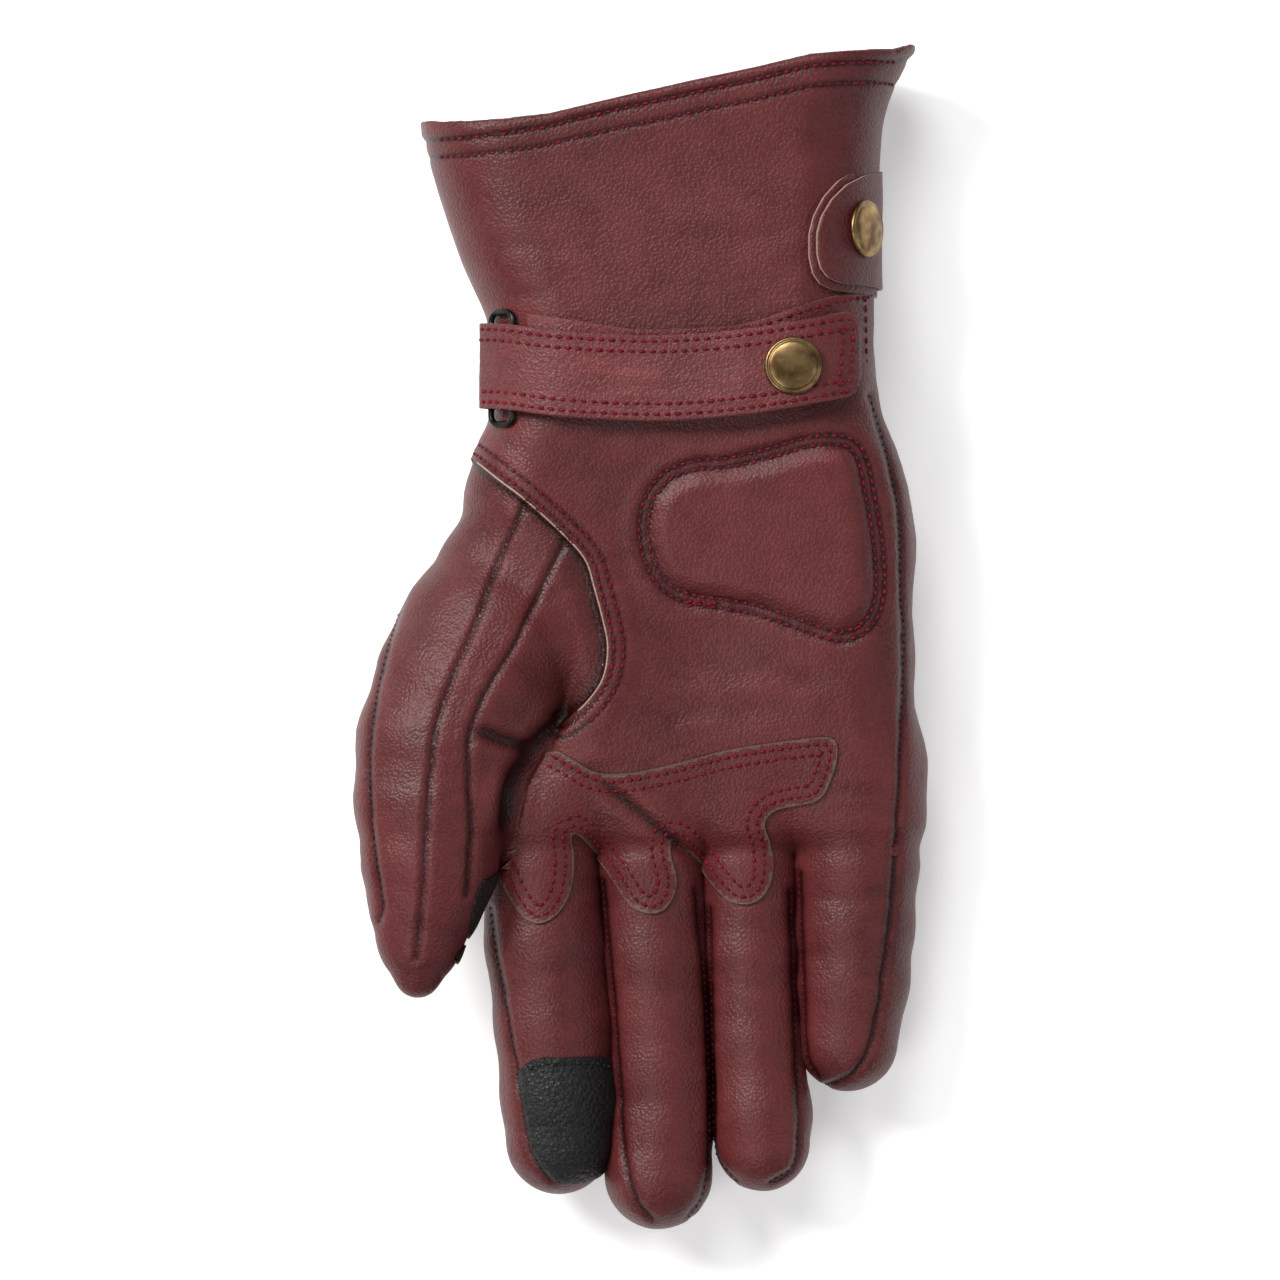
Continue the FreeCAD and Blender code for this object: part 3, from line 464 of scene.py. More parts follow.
def relief(points, normals):
    """How far, in mm, sewing, padding and folds lift the smooth leather, and how much painted shade they lay
    along seams, stitch rows and creases.
    """
    x, y, z = points.T
    palm = step_up(-0.2, 0.3, normals[:, 2])
    back = step_up(0.1, 0.5, -normals[:, 2])
    lift = 0.26 * ripple(points, 23.0, 3) + 0.1 * ripple(points * (1, 0.8, 1), 9.0, 4)
    wander = points + 1.6 * np.stack([ripple(points, 7.0, 5), ripple(points, 7.0, 6), x * 0], axis=1)
    lift += 0.08 * ripple(wander * (0.75, 1.5, 1), 3.6, 7)
    # Painted shade: a dark band along each seam groove, stitch row and crease, and under the lapped
    # thumb-hole edge.
    groove_shade = x * 0
    lift *= (1 - 0.45 * step_up(72, 84, y)) * (1 - 0.75 * step_up(-48, -58, y) * (1 - np.abs(normals[:, 2])))
    for name, line in SEAMS.items():
        near, along, side = line_distance(points, smooth_line(line), PUCKER_REACH * 2)
        depth = SEAM_DEPTH.get(name, 0.55)
        groove = -depth * np.exp(-(near / 0.8) ** 2)
        bunch = ripple(np.stack([along, side * 9, near * 0.25], axis=1), 2.6, 11)
        bunch = bunch * np.exp(-(near / PUCKER_REACH) ** 1.5) * 0.2
        lift += (groove + bunch + 0.12 * np.exp(-((near - 2.0) / 1.4) ** 2)) * palm
        # Painted shade along the seam groove.
        groove_shade += 0.7 * np.exp(-(near / 0.6) ** 2) * palm
    for line, depth, width in CREASES:
        near, along, side = line_distance(points, smooth_line(line), width * 4)
        size = np.linalg.norm(np.subtract(line[0], line[-1]))
        fade = step_up(0, size * 0.25, along) * step_up(0, size * 0.25, size - along)
        fold = -np.exp(-(near / width) ** 2) + 0.55 * np.exp(-((near - 2.1 * width) / (1.3 * width)) ** 2)
        uneven = 0.75 + 0.5 * ripple(np.stack([along, near * 0, near * 0], axis=1), 7.0, 13)
        lift += 0.6 * depth * fold * fade * uneven * palm
        # Deep creases get painted shade along their bottoms.
        groove_shade += min(max(depth - 0.6, 0), 1.7) * 0.4 * np.exp(-(near / width) ** 2) * fade * palm

    edge = np.vstack([smooth_line(HEEL_PAD + HEEL_PAD[:1]), smooth_line(HEEL_PAD)[:1]])
    near, along, side = line_distance(points, edge, 60)
    inside = np.where(near < 50, near * side, -50)
    pad = 1.4 * step_up(1.8, 6.0, inside) - 0.34 * np.exp(-(inside / 0.8) ** 2)
    pad += -0.34 * np.exp(-((inside - 2.0) / 0.8) ** 2) + 0.2 * np.exp(-((inside + 2.2) / 1.6) ** 2)
    puff = ripple(np.stack([along, along * 0, along * 0], axis=1), 2.0, 12)
    lift += (pad + 0.16 * puff * np.exp(-((inside - 0.6) / 2.6) ** 2)) * palm
    # Painted shade along both stitch rows of the heel pad.
    groove_shade += (np.exp(-(inside / 0.55) ** 2) + np.exp(-((inside - 2.0) / 0.55) ** 2)) * palm

    hole, along, side = line_distance(points, smooth_line(THUMB_HOLE), 14)
    over = hole * side
    flare = 0.75 * step_up(-0.35, 0.35, over) * step_up(9, 2, over)
    flare -= 0.22 * (np.exp(-((over - 1.6) / 0.7) ** 2) + np.exp(-((over - 3.8) / 0.7) ** 2))
    sunk = -0.7 * step_up(-5.5, -0.6, over) * (over <= 0) * (y > -17)
    lift += (flare + sunk) * palm * (x < 4)
    # Painted shade along both stitch rows beside the thumb hole.
    groove_shade += (np.exp(-((over - 1.6) / 0.55) ** 2) + np.exp(-((over - 3.8) / 0.55) ** 2)) * palm * (x < 4)
    # Painted shade in the slit under the lapped edge of the palm leather.
    groove_shade += 0.8 * np.exp(-((over + 0.5) / 0.7) ** 2) * palm * (x < 4)
    hem = np.interp(x, *np.array(HEM_EDGE).T) - y
    rows = [hem - np.interp(x, HEM_ROW_PLACES, depths) for depths in HEM_ROWS]
    lift += (0.35 * np.exp(-((rows[0] + 1.4) / 1.0) ** 2) - 0.34 * np.exp(-(rows[0] / 0.8) ** 2)
             - 0.26 * np.exp(-(rows[1] / 0.7) ** 2)) * (hem > -2)
    # Painted shade along both hem stitch rows.
    groove_shade += (np.exp(-(rows[0] / 0.55) ** 2) + np.exp(-(rows[1] / 0.55) ** 2)) * (hem > -2)
    return lift + back * back_relief(x, y, z) + side_relief(x, y, z), groove_shade


def back_relief(x, y, z):
    """Back of the hand: sewn finger darts, a ribbed knuckle panel and the gathers of the elastic."""
    gather = np.exp(-((y - 60) / 9) ** 4)
    lift = gather * (0.75 * np.sin(x * 1.15 + 1.4 * np.sin(y * 0.23)) - 0.9)
    lift += 0.35 * gather * np.sin(x * 2.6 + y * 0.4)
    panel = step_up(40, 36, np.abs(x - 18)) * step_up(32, 27, np.abs(y + 4))
    rib = np.abs(np.sin((y + 4) * math.pi / 9))
    lift += panel * (0.75 * rib ** 0.7 - 0.1)
    lift -= 0.6 * np.exp(-((np.abs(x - 18) - 40) / 1.0) ** 2) * step_up(34, 31, np.abs(y + 4))
    lift -= 0.6 * np.exp(-((np.abs(y + 4) - 32) / 1.0) ** 2) * step_up(42, 39, np.abs(x - 18))
    return lift


def side_relief(x, y, z):
    """Rolls of back padding that stand out past the seam on the little-finger edge."""
    rolls = np.exp(-((y - 22) / 9) ** 2) + np.exp(-((y + 3) / 8) ** 2) + 0.8 * np.exp(-((y + 27) / 9) ** 2)
    return 1.1 * (rolls - 0.35) * step_up(50, 56, x) * step_up(25, 19, z) * step_up(-40, -30, y)


def vertex_normals(vertices, triangles):
    a, b, c = (vertices[triangles[:, k]] for k in range(3))
    face = np.cross(b - a, c - a)
    total = np.zeros_like(vertices)
    for axis in range(3):
        for k in range(3):
            total[:, axis] += np.bincount(triangles[:, k], face[:, axis], len(vertices))
    return total / np.maximum(np.linalg.norm(total, axis=1), 1e-12)[:, None]


def cavity_share(points):
    """True inside the open cuff, where the wall shows its lining."""
    x, y, z = points.T
    left, right, low, high = [smooth_column(BODY[:, column], BODY[:, 0], y) for column in range(1, 5)]
    inner = round_box(x, z, left + CUFF_WALL / 2, right - CUFF_WALL / 2, low + CUFF_WALL / 2,
                      high - CUFF_WALL / 2, 0.9)
    return (inner < 0) & (y > CAVITY_END - 3)


def clipped(points, faces, value, *carried):
    """Part of a triangle mesh where value is below zero, cut cleanly where value crosses zero."""
    below = value < 0
    count = below[faces].sum(axis=1)
    keep = faces[count == 3]
    cross = faces[(count > 0) & (count < 3)]
    flags = below[cross]
    lone = np.where((flags.sum(axis=1) == 1)[:, None], flags, ~flags).argmax(axis=1)
    rows = np.arange(len(cross))
    first, second, third = (cross[rows, (lone + k) % 3] for k in range(3))
    pairs = np.sort(np.vstack([np.stack([first, second], 1), np.stack([first, third], 1)]), axis=1)
    unique, index = np.unique(pairs, axis=0, return_inverse=True)
    index = index.reshape(-1) + len(points)
    a, b = unique.T
    share = (value[a] / (value[a] - value[b]))
    grown = [np.concatenate([points, points[a] + (points[b] - points[a]) * share[:, None]])]
    for extra in carried:
        weight = share if extra.ndim == 1 else share[:, None]
        grown.append(np.concatenate([extra, extra[a] + (extra[b] - extra[a]) * weight]))
    to_second, to_third = index[:len(cross)], index[len(cross):]
    alone = below[first]
    tips = np.stack([first, to_second, to_third], 1)[alone]
    wide = ~alone
    bases = np.vstack([np.stack([to_second, second, third], 1)[wide],
                       np.stack([to_second, third, to_third], 1)[wide]])
    return (grown[0], np.vstack([keep, tips, bases]), *grown[1:])


FINGER_CUT = -48.0
SKIN_LOW, SKIN_HIGH = (-70, -138, -4), (68, 138, 54)
skins = []
for number, name in enumerate((None, *FINGERS)):
    # Each finger is its own skin below the cut, so neighbours lie pressed together as separate pieces.
    low, high = list(SKIN_LOW), list(SKIN_HIGH)
    if name is None:
        def shape(points):
            return glove_distance(points, finger_end=FINGER_CUT - 3)
    else:
        def shape(points, name=name):
            return glove_distance(points, fingers=(name,), with_thumb=False)
        low[0] += STEP * round((STALLS[name][1][0] - 22 - low[0]) / STEP)
        high[0], high[1] = low[0] + 44, FINGER_CUT + 6
    smooth_points, quads = surface_net(shape, low, high, STEP)
    for sharpening in range(2):
        smooth_points -= gradient(shape, smooth_points) * shape(smooth_points)[:, None] * 0.9
    faces = np.vstack([quads[:, :3], quads[:, [0, 2, 3]]])
    normals = vertex_normals(smooth_points, faces)
    lining = cavity_share(smooth_points)
    lift, groove_shade = relief(smooth_points, normals)
    lift = np.where(lining, 0.25 * ripple(smooth_points, 5.0, 21), lift)
    moved = smooth_points + normals * lift[:, None]
    moved[:, 2] = np.maximum(moved[:, 2], TABLE_GAP)
    x, y, z = smooth_points.T
    if name is None:
        to_thumb = np.where((x < 5) & (y < 45),
                            stall_distance(smooth_points, STALLS["thumb"], STALL_DEPTH["thumb"]), 99)
        to_finger = np.min([stall_distance(smooth_points, STALLS[each], 0.96) for each in FINGERS], axis=0)
        beyond = np.where(to_finger < to_thumb, FINGER_CUT - y, -5)
    else:
        beyond = y - FINGER_CUT
    skins.append((number - 1, *clipped(moved, faces, beyond, normals, vertex_normals(moved, faces), lift,
                                       groove_shade, lining.astype(float))))
shift = np.cumsum([0] + [len(each[1]) for each in skins])
skin_points, smooth_normals, skin_normals, skin_lift, skin_groove_shade, lined_share = (
    np.concatenate([each[k] for each in skins]) for k in (1, 3, 4, 5, 6, 7))
skin_faces = np.vstack([each[2] + start for each, start in zip(skins, shift)])
face_finger = np.concatenate([np.full(len(each[2]), each[0]) for each in skins])
in_cavity = lined_share > 0.5


def leather_grain_group():
    """Pebbled grain, fine crazing and uneven dye, for every leather on the glove, shifted by the wear and
    painted shade it is given.
    """
    group = bpy.data.node_groups.new("leather_grain", "ShaderNodeTree")
    for name, kind, value in (("Deep", "NodeSocketColor", (0.1, 0.03, 0.03, 1)),
                              ("Worn", "NodeSocketColor", (0.2, 0.08, 0.08, 1)),
                              ("Pebble Scale", "NodeSocketFloat", 1100.0),
                              ("Craze", "NodeSocketFloat", 0.5), ("Wear And Shade", "NodeSocketFloat", 0.3)):
        socket = group.interface.new_socket(name, in_out="INPUT", socket_type=kind)
        socket.default_value = value
    for name, kind in (("Color", "NodeSocketColor"), ("Roughness", "NodeSocketFloat"),
                       ("Height", "NodeSocketFloat")):
        group.interface.new_socket(name, in_out="OUTPUT", socket_type=kind)
    nodes, links = group.nodes, group.links
    given, result = nodes.new("NodeGroupInput"), nodes.new("NodeGroupOutput")
    place = nodes.new("ShaderNodeTexCoord").outputs["Object"]

    def noise_at(scale, detail, distortion=0.0, stretch=None):
        source = place
        if stretch:
            squeeze = nodes.new("ShaderNodeMapping")
            squeeze.inputs["Scale"].default_value = stretch
            links.new(place, squeeze.inputs["Vector"])
            source = squeeze.outputs["Vector"]
        cloud = nodes.new("ShaderNodeTexNoise")
        cloud.inputs["Scale"].default_value = scale
        cloud.inputs["Detail"].default_value = detail
        cloud.inputs["Distortion"].default_value = distortion
        links.new(source, cloud.inputs["Vector"])
        return cloud.outputs["Fac"]

    def sum_of(kind, a, b):
        step = nodes.new("ShaderNodeMath")
        step.operation = kind
        for socket, value in zip(step.inputs, (a, b)):
            if hasattr(value, "is_output"):
                links.new(value, socket)
            else:
                socket.default_value = value
        return step.outputs[0]

    def spread(value, low, high, to_low, to_high):
        remap = nodes.new("ShaderNodeMapRange")
        for name, number in (("From Min", low), ("From Max", high), ("To Min", to_low), ("To Max", to_high)):
            remap.inputs[name].default_value = number
        links.new(value, remap.inputs["Value"])
        return remap.outputs["Result"]

    cells = nodes.new("ShaderNodeTexVoronoi")
    cells.feature = "SMOOTH_F1"
    cells.inputs["Smoothness"].default_value = 0.35
    links.new(place, cells.inputs["Vector"])
    links.new(given.outputs["Pebble Scale"], cells.inputs["Scale"])
    pebble = spread(cells.outputs["Distance"], 0.0, 0.75, 1.0, 0.0)
    vein = sum_of("ABSOLUTE", sum_of("SUBTRACT", noise_at(760, 3, 0.5, (0.8, 1.3, 1)), 0.5), 0)
    craze = spread(vein, 0.0, 0.07, 0.0, 1.0)
    blotch = noise_at(26, 3)
    dye = noise_at(140, 4)
    fine = sum_of("MULTIPLY", craze, given.outputs["Craze"])
    links.new(sum_of("ADD", sum_of("MULTIPLY", pebble, 0.75), fine), result.inputs["Height"])
    tone = sum_of("ADD", sum_of("MULTIPLY", spread(blotch, 0.3, 0.7, 0.0, 1.0), 0.1),
                  sum_of("MULTIPLY", spread(dye, 0.25, 0.75, 0.0, 1.0), 0.16))
    tone = sum_of("ADD", sum_of("ADD", tone, 0.2), sum_of("MULTIPLY", pebble, 0.2))
    tone = sum_of("ADD", tone, given.outputs["Wear And Shade"])
    mix = nodes.new("ShaderNodeMix")
    mix.data_type = "RGBA"
    mix.clamp_factor = True
    links.new(tone, mix.inputs["Factor"])
    links.new(given.outputs["Deep"], mix.inputs[6])
    links.new(given.outputs["Worn"], mix.inputs[7])
    links.new(mix.outputs[2], result.inputs["Color"])
    rough = sum_of("ADD", spread(dye, 0.3, 0.7, 0.40, 0.50), sum_of("MULTIPLY", pebble, -0.06))
    links.new(rough, result.inputs["Roughness"])
    return group


def new_paint(name):
    """A new material, with its nodes, its links and its shader."""
    paint = bpy.data.materials.new(name)
    paint.use_nodes = True
    return paint, paint.node_tree.nodes, paint.node_tree.links, paint.node_tree.nodes["Principled BSDF"]


def cloudy(nodes, links, scale, detail=2.0):
    """Noise through the piece at one scale."""
    cloud = nodes.new("ShaderNodeTexNoise")
    cloud.inputs["Scale"].default_value = scale
    cloud.inputs["Detail"].default_value = detail
    links.new(nodes.new("ShaderNodeTexCoord").outputs["Object"], cloud.inputs["Vector"])
    return cloud.outputs["Fac"]


def two_tone(nodes, links, fac, dark, light, low, high):
    """Colour that runs from dark to light as a mask goes from low to high."""
    ramp = nodes.new("ShaderNodeValToRGB")
    for end, place, tone in zip(ramp.color_ramp.elements, (low, high), (dark, light)):
        end.position, end.color = place, tone
    links.new(fac, ramp.inputs["Fac"])
    return ramp.outputs["Color"]


def bumped(nodes, links, height, strength, depth):
    """Normal of a surface raised by a mask, by at most the depth in mm."""
    bump = nodes.new("ShaderNodeBump")
    bump.inputs["Strength"].default_value = strength
    bump.inputs["Distance"].default_value = depth * MM
    links.new(height, bump.inputs["Height"])
    return bump.outputs["Normal"]


leather_grain = leather_grain_group()
OXBLOOD_DEEP = (0.020, 0.0022, 0.0025, 1)
OXBLOOD_WORN = (0.172, 0.0300, 0.0315, 1)


def leather(name, deep, worn, pebble=1500.0, craze=0.08, wear=0.0, bump=0.65, bump_mm=0.22):
    """Leather finish: the shared grain feeds colour, roughness and bump; wear and painted shade are read from
    the mesh.
    """
    paint, nodes, links, shader = new_paint(name)
    grain = nodes.new("ShaderNodeGroup")
    grain.node_tree = leather_grain
    grain.inputs["Deep"].default_value = deep
    grain.inputs["Worn"].default_value = worn
    grain.inputs["Pebble Scale"].default_value = pebble
    grain.inputs["Craze"].default_value = craze
    # The mesh attribute brings wear, and on the glove skin painted shade in hollows, seams and creases.
    wear_and_shade = nodes.new("ShaderNodeAttribute")
    wear_and_shade.attribute_name = "wear_and_shade"
    offset = nodes.new("ShaderNodeMath")
    offset.inputs[1].default_value = wear
    links.new(wear_and_shade.outputs["Fac"], offset.inputs[0])
    links.new(offset.outputs[0], grain.inputs["Wear And Shade"])
    links.new(bumped(nodes, links, grain.outputs["Height"], bump, bump_mm), shader.inputs["Normal"])
    links.new(grain.outputs["Color"], shader.inputs["Base Color"])
    links.new(grain.outputs["Roughness"], shader.inputs["Roughness"])
    shader.inputs["Specular IOR Level"].default_value = 0.28
    return paint


def fleece(name, color):
    """Dark brushed lining."""
    paint, nodes, links, shader = new_paint(name)
    cloud = cloudy(nodes, links, 900, 4)
    dark, light = [tuple(share * c for c in color) + (1,) for share in (0.4, 1.8)]
    links.new(two_tone(nodes, links, cloud, dark, light, 0, 1), shader.inputs["Base Color"])
    links.new(bumped(nodes, links, cloud, 0.8, 0.4), shader.inputs["Normal"])
    shader.inputs["Roughness"].default_value = 0.95
    shader.inputs["Sheen Weight"].default_value = 0.4
    return paint


glove_leather = leather("oxblood_leather", OXBLOOD_DEEP, OXBLOOD_WORN)
lining_fleece = fleece("lining_fleece", (0.014, 0.012, 0.012))


def make_piece(name, points, faces, *paints, normals=None, face_paint=None, wear_and_shade=None):
    """Mesh piece from mm points, smooth all over, with its paints and its wear and painted shade."""
    used = np.unique(faces)
    index = np.full(len(points), -1)
    index[used] = np.arange(len(used))
    thing = new_object(name, (points[used] * MM).tolist(), index[faces].tolist())
    mesh = thing.data
    mesh.polygons.foreach_set("use_smooth", [True] * len(mesh.polygons))
    for paint in paints:
        mesh.materials.append(paint)
    if face_paint is not None:
        mesh.polygons.foreach_set("material_index", np.asarray(face_paint, np.int32))
    shade = mesh.attributes.new("wear_and_shade", "FLOAT", "POINT")
    if wear_and_shade is not None:
        shade.data.foreach_set("value", np.asarray(wear_and_shade[used], np.float32))
    if normals is not None:
        mesh.normals_split_custom_set_from_vertices(normals[used].tolist())
    mesh.update()
    return thing


# Where each triangle of the skin belongs.
face_middle = skin_points[skin_faces].mean(axis=1)
face_normal = smooth_normals[skin_faces].mean(axis=1)
x, y, z = face_middle.T
edges = [smooth_column(BODY[:, column], BODY[:, 0], y) for column in range(1, 5)]
to_body = body_distance(face_middle, edges)
to_thumb = stall_distance(face_middle, STALLS["thumb"], STALL_DEPTH["thumb"])
to_thumb = np.where((x < 5) & (y < 45), to_thumb, 99)
hole_gap, along, hole_side = line_distance(face_middle, smooth_line(THUMB_HOLE), 60)
facing = face_normal[:, 2] > 0.15
on_thumb = np.where(facing & (y > -19) & (x > -45), (hole_gap * hole_side < 0) & (x < 2) & (to_thumb < 6),
                    to_thumb < to_body)
on_finger = face_finger >= 0
lined = in_cavity[skin_faces].all(axis=1)
upper = z > 20.5
parts = {"cuff_lining_fleece": lined}
free = ~lined
for number, name in enumerate(FINGERS):
    parts[f"{name}_leather"] = free & (face_finger == number)
free &= ~on_finger
parts["thumb_leather"] = free & on_thumb
free &= ~on_thumb
for side_name, side_mask in (("palm", upper), ("back", ~upper)):
    parts[f"cuff_{side_name}_leather"] = free & side_mask & (y > 60)
    parts[f"{side_name}_leather"] = free & side_mask & (y <= 60)

# The heel pad and the padded back panel are cut out along their seams, as padded pieces.
# Colour shift for the leather: a little lighter where it stands up, as rubbing, and darker where it sinks, as
# painted shade in hollows and creases. Seam and crease lines get more painted shade, and some random tone is
# added.
skin_wear_and_shade = 0.22 * np.clip(skin_lift, -1.2, 0.4) + 0.06 * ripple(skin_points, 14.0, 31) - 0.5 * skin_groove_shade
heel_outline = np.vstack([smooth_line(HEEL_PAD + HEEL_PAD[:1]), smooth_line(HEEL_PAD)[:1]])
near, along, side = line_distance(skin_points, heel_outline, 60)
from_heel_pad = np.where((near < 50) & (skin_normals[:, 2] > 0), -near * side, 50)
from_back_pad = np.maximum(np.abs(skin_points[:, 0] - 18) - 40, np.abs(skin_points[:, 1] + 4) - 32)
from_back_pad = np.where(skin_normals[:, 2] < -0.1, from_back_pad, 50)
padded = {"heel_pad_leather": ("palm_leather", from_heel_pad, 0.8),
          "back_pad_leather": ("back_leather", from_back_pad, 0.45)}
skin = {}
for name, (around, value, fill) in padded.items():
    mask = parts[around]
    pad_points, pad_faces, pad_normals, pad_wear_and_shade = clipped(skin_points, skin_faces[mask], value,
                                                            skin_normals, skin_wear_and_shade)
    skin[name] = make_piece(name, pad_points, pad_faces, glove_leather, normals=pad_normals,
                            wear_and_shade=pad_wear_and_shade)
    rest_points, rest_faces, rest_normals, rest_wear_and_shade = clipped(skin_points, skin_faces[mask], -value,
                                                                skin_normals, skin_wear_and_shade)
    skin[around] = make_piece(around, rest_points, rest_faces, glove_leather, normals=rest_normals,
                              wear_and_shade=rest_wear_and_shade)
    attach(skin[name], "hand")
for name, mask in parts.items():
    if name in skin:
        continue
    paint = lining_fleece if name == "cuff_lining_fleece" else glove_leather
    skin[name] = make_piece(name, skin_points, skin_faces[mask], paint, normals=skin_normals,
                            wear_and_shade=skin_wear_and_shade)

for name in ("cuff_lining_fleece", "cuff_palm_leather", "cuff_back_leather", "palm_leather", "back_leather"):
    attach(skin[name], "hand")
BEND = {}
for name in FINGERS:
    across = STALLS[name][1][0] * MM
    BEND[name] = ((across, -0.049, 0.017), (across, -0.066, 0.017))
BEND["thumb"] = ((-0.044, -0.024, 0.029), (-0.046, -0.044, 0.031))
for name, (start, end) in BEND.items():
    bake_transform(skin[f"{name}_leather"])

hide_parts("palm_panel", "hand_lining", "wrist_elastic")
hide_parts("back_panel", "side_strip")
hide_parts("heel_pad_foam")
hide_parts("back_pad_cover", "back_pad_foam")
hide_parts("cuff_palm_panel", "cuff_hem")
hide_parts("cuff_back_panel")
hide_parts("cuff_lining")
for name in FINGERS + ["thumb"]:
    stands_for = [node for node in frame["nodes"] if node.startswith(f"{name}_") and "patch" not in node]
    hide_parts(*stands_for)


# ---- palm reinforcement, thumb-hole edge and touch patches ----------------------------------
# A second layer of leather is sewn on below the fingers, with raw edges and a tongue to each of
# three fingers. The palm leather laps over the thumb, and black patches cover two fingertips.

REINFORCEMENT = ((-18, -24.6), (-13.5, -27.2), (-9.6, -29.2), (-4.5, -29.6), (2, -28.6), (9, -27),
                 (18, -24.6), (27, -23), (36, -21.8), (41, -21.4), (43.4, -22.6), (43.6, -26.4), (42.6, -30),
                 (41, -33.8), (38.6, -35.8), (34.6, -36.6), (29.8, -37.8), (27.6, -40.6), (28.8, -44.6),
                 (29.3, -49.5), (28.8, -54), (26.8, -57.4), (23.8, -58.8), (20.4, -58.2), (17.8, -56),
                 (15.4, -53), (12, -48.6), (8.6, -44.8), (6.6, -44.4), (6.6, -47.5), (7.8, -52.4),
                 (7.4, -56.5), (5.4, -59.8), (2.5, -60.8), (-0.6, -60), (-3, -57.8), (-6, -53),
                 (-9.4, -48.6), (-12, -45), (-14.6, -42.6), (-15.4, -44), (-15, -48), (-15.2, -52.6),
                 (-16.4, -57.5), (-19, -61.4), (-22.4, -63), (-25.2, -62), (-28, -58.6), (-30.6, -53.6),
                 (-33, -47), (-34, -38), (-31, -31), (-25, -26))
INDEX_PATCH = ((-27.4, -96.6), (-24.6, -93.8), (-21.4, -92.8), (-17.4, -92.8), (-10.4, -92.8), (-6.4, -94),
               (-4.6, -97.4), (-4.4, -114), (-8, -119.2), (-12.6, -120.8), (-17.4, -120.8),
               (-21.2, -119), (-24, -112.8), (-26, -104))
THUMB_PATCH = ((-34.6, -53), (-36.4, -57), (-37.4, -62), (-38.6, -67), (-41, -71), (-36, -76), (-24, -66),
               (-26, -50))
LAYER = 1.0

raw_edge = leather("raw_leather_edge", (0.20, 0.12, 0.09, 1), (0.46, 0.35, 0.29, 1), pebble=2600, craze=0.3,
                   wear=0.1, bump=0.6)
brown_edge = leather("brown_leather_edge", (0.045, 0.022, 0.014, 1), (0.17, 0.10, 0.07, 1), pebble=2600,
                     craze=0.3, bump=0.6)
overlay_leather = leather("oxblood_overlay", (0.019, 0.0021, 0.0024, 1), (0.168, 0.029, 0.0305, 1))
black_leather = leather("black_touch_leather", (0.002, 0.002, 0.002, 1), (0.016, 0.015, 0.015, 1),
                        pebble=1100, craze=0.3, bump_mm=0.45)


def outline_value(points, outline, margin=30):
    """Signed distance to a closed drawn outline seen from above: negative inside."""
    line = smooth_line(outline + outline[:1], 0.6)
    gap, along, side = line_distance(points, line, margin)
    inside = np.zeros(len(points), bool)
    px, py = points[:, 0], points[:, 1]
    for (ax, ay), (bx, by) in zip(line, np.roll(line, -1, axis=0)):
        if ay != by:
            crossing = (ay > py) != (by > py)
            inside ^= crossing & (px < (bx - ax) * (py - ay) / (by - ay) + ax)
    return np.where(inside, -gap, gap)


def sewn_layer(name, faces, value, thickness, sink, paint, edge_paint, edge_width=0.5):
    """Leather layer over part of the skin: lifted by its thickness, with a raw edge down to it."""
    points, part, normals, near, wear_and_shade = clipped(skin_points, faces, value, skin_normals, value, skin_wear_and_shade)
    lift = thickness * (1 - 0.3 * np.exp(-np.abs(near) / 0.35))
    top = points + normals * lift[:, None]
    ends = np.sort(np.vstack([part[:, [0, 1]], part[:, [1, 2]], part[:, [2, 0]]]), axis=1)
    ways = np.vstack([part[:, [0, 1]], part[:, [1, 2]], part[:, [2, 0]]])
    unique, first, count = np.unique(ends, axis=0, return_index=True, return_counts=True)
    rim = ways[first[count == 1]]
    low = points - normals * sink
    every = np.vstack([top, low])
    a, b = rim.T
    shift = len(points)
    wall = np.vstack([np.stack([b, a, a + shift], 1), np.stack([b, a + shift, b + shift], 1)])
    near_rim = np.abs(near[part]).min(axis=1) < edge_width * 0.5
    slots = np.concatenate([near_rim.astype(int), np.ones(len(wall), int)])
    both = np.vstack([part, wall])
    return make_piece(name, every, both, paint, edge_paint, face_paint=slots, wear_and_shade=np.tile(wear_and_shade, 2),
                      normals=np.tile(normals, (2, 1)))


palm_and_fingers = parts["palm_leather"] | (~lined & on_finger) | (~lined & ~on_thumb & (y < -20))
from_band = outline_value(skin_points, REINFORCEMENT)
from_band = np.where(skin_normals[:, 2] > -0.05, from_band, 30)
faces_here = palm_and_fingers & (facing | (face_normal[:, 2] > -0.3)) & ~lined
bands = {"palm_reinforcement_leather": faces_here & (y >= FINGER_CUT)}
for number, name in enumerate(FINGERS[:3]):
    bands[f"{name}_tongue"] = faces_here & parts[f"{name}_leather"]
for name, mask in bands.items():
    layer = sewn_layer(name, skin_faces[mask], from_band, LAYER, 0.3, overlay_leather, brown_edge, 0.3)
    if name == "palm_reinforcement_leather":
        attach(layer, "hand")
        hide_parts("palm_reinforcement")
    else:
        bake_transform(layer)

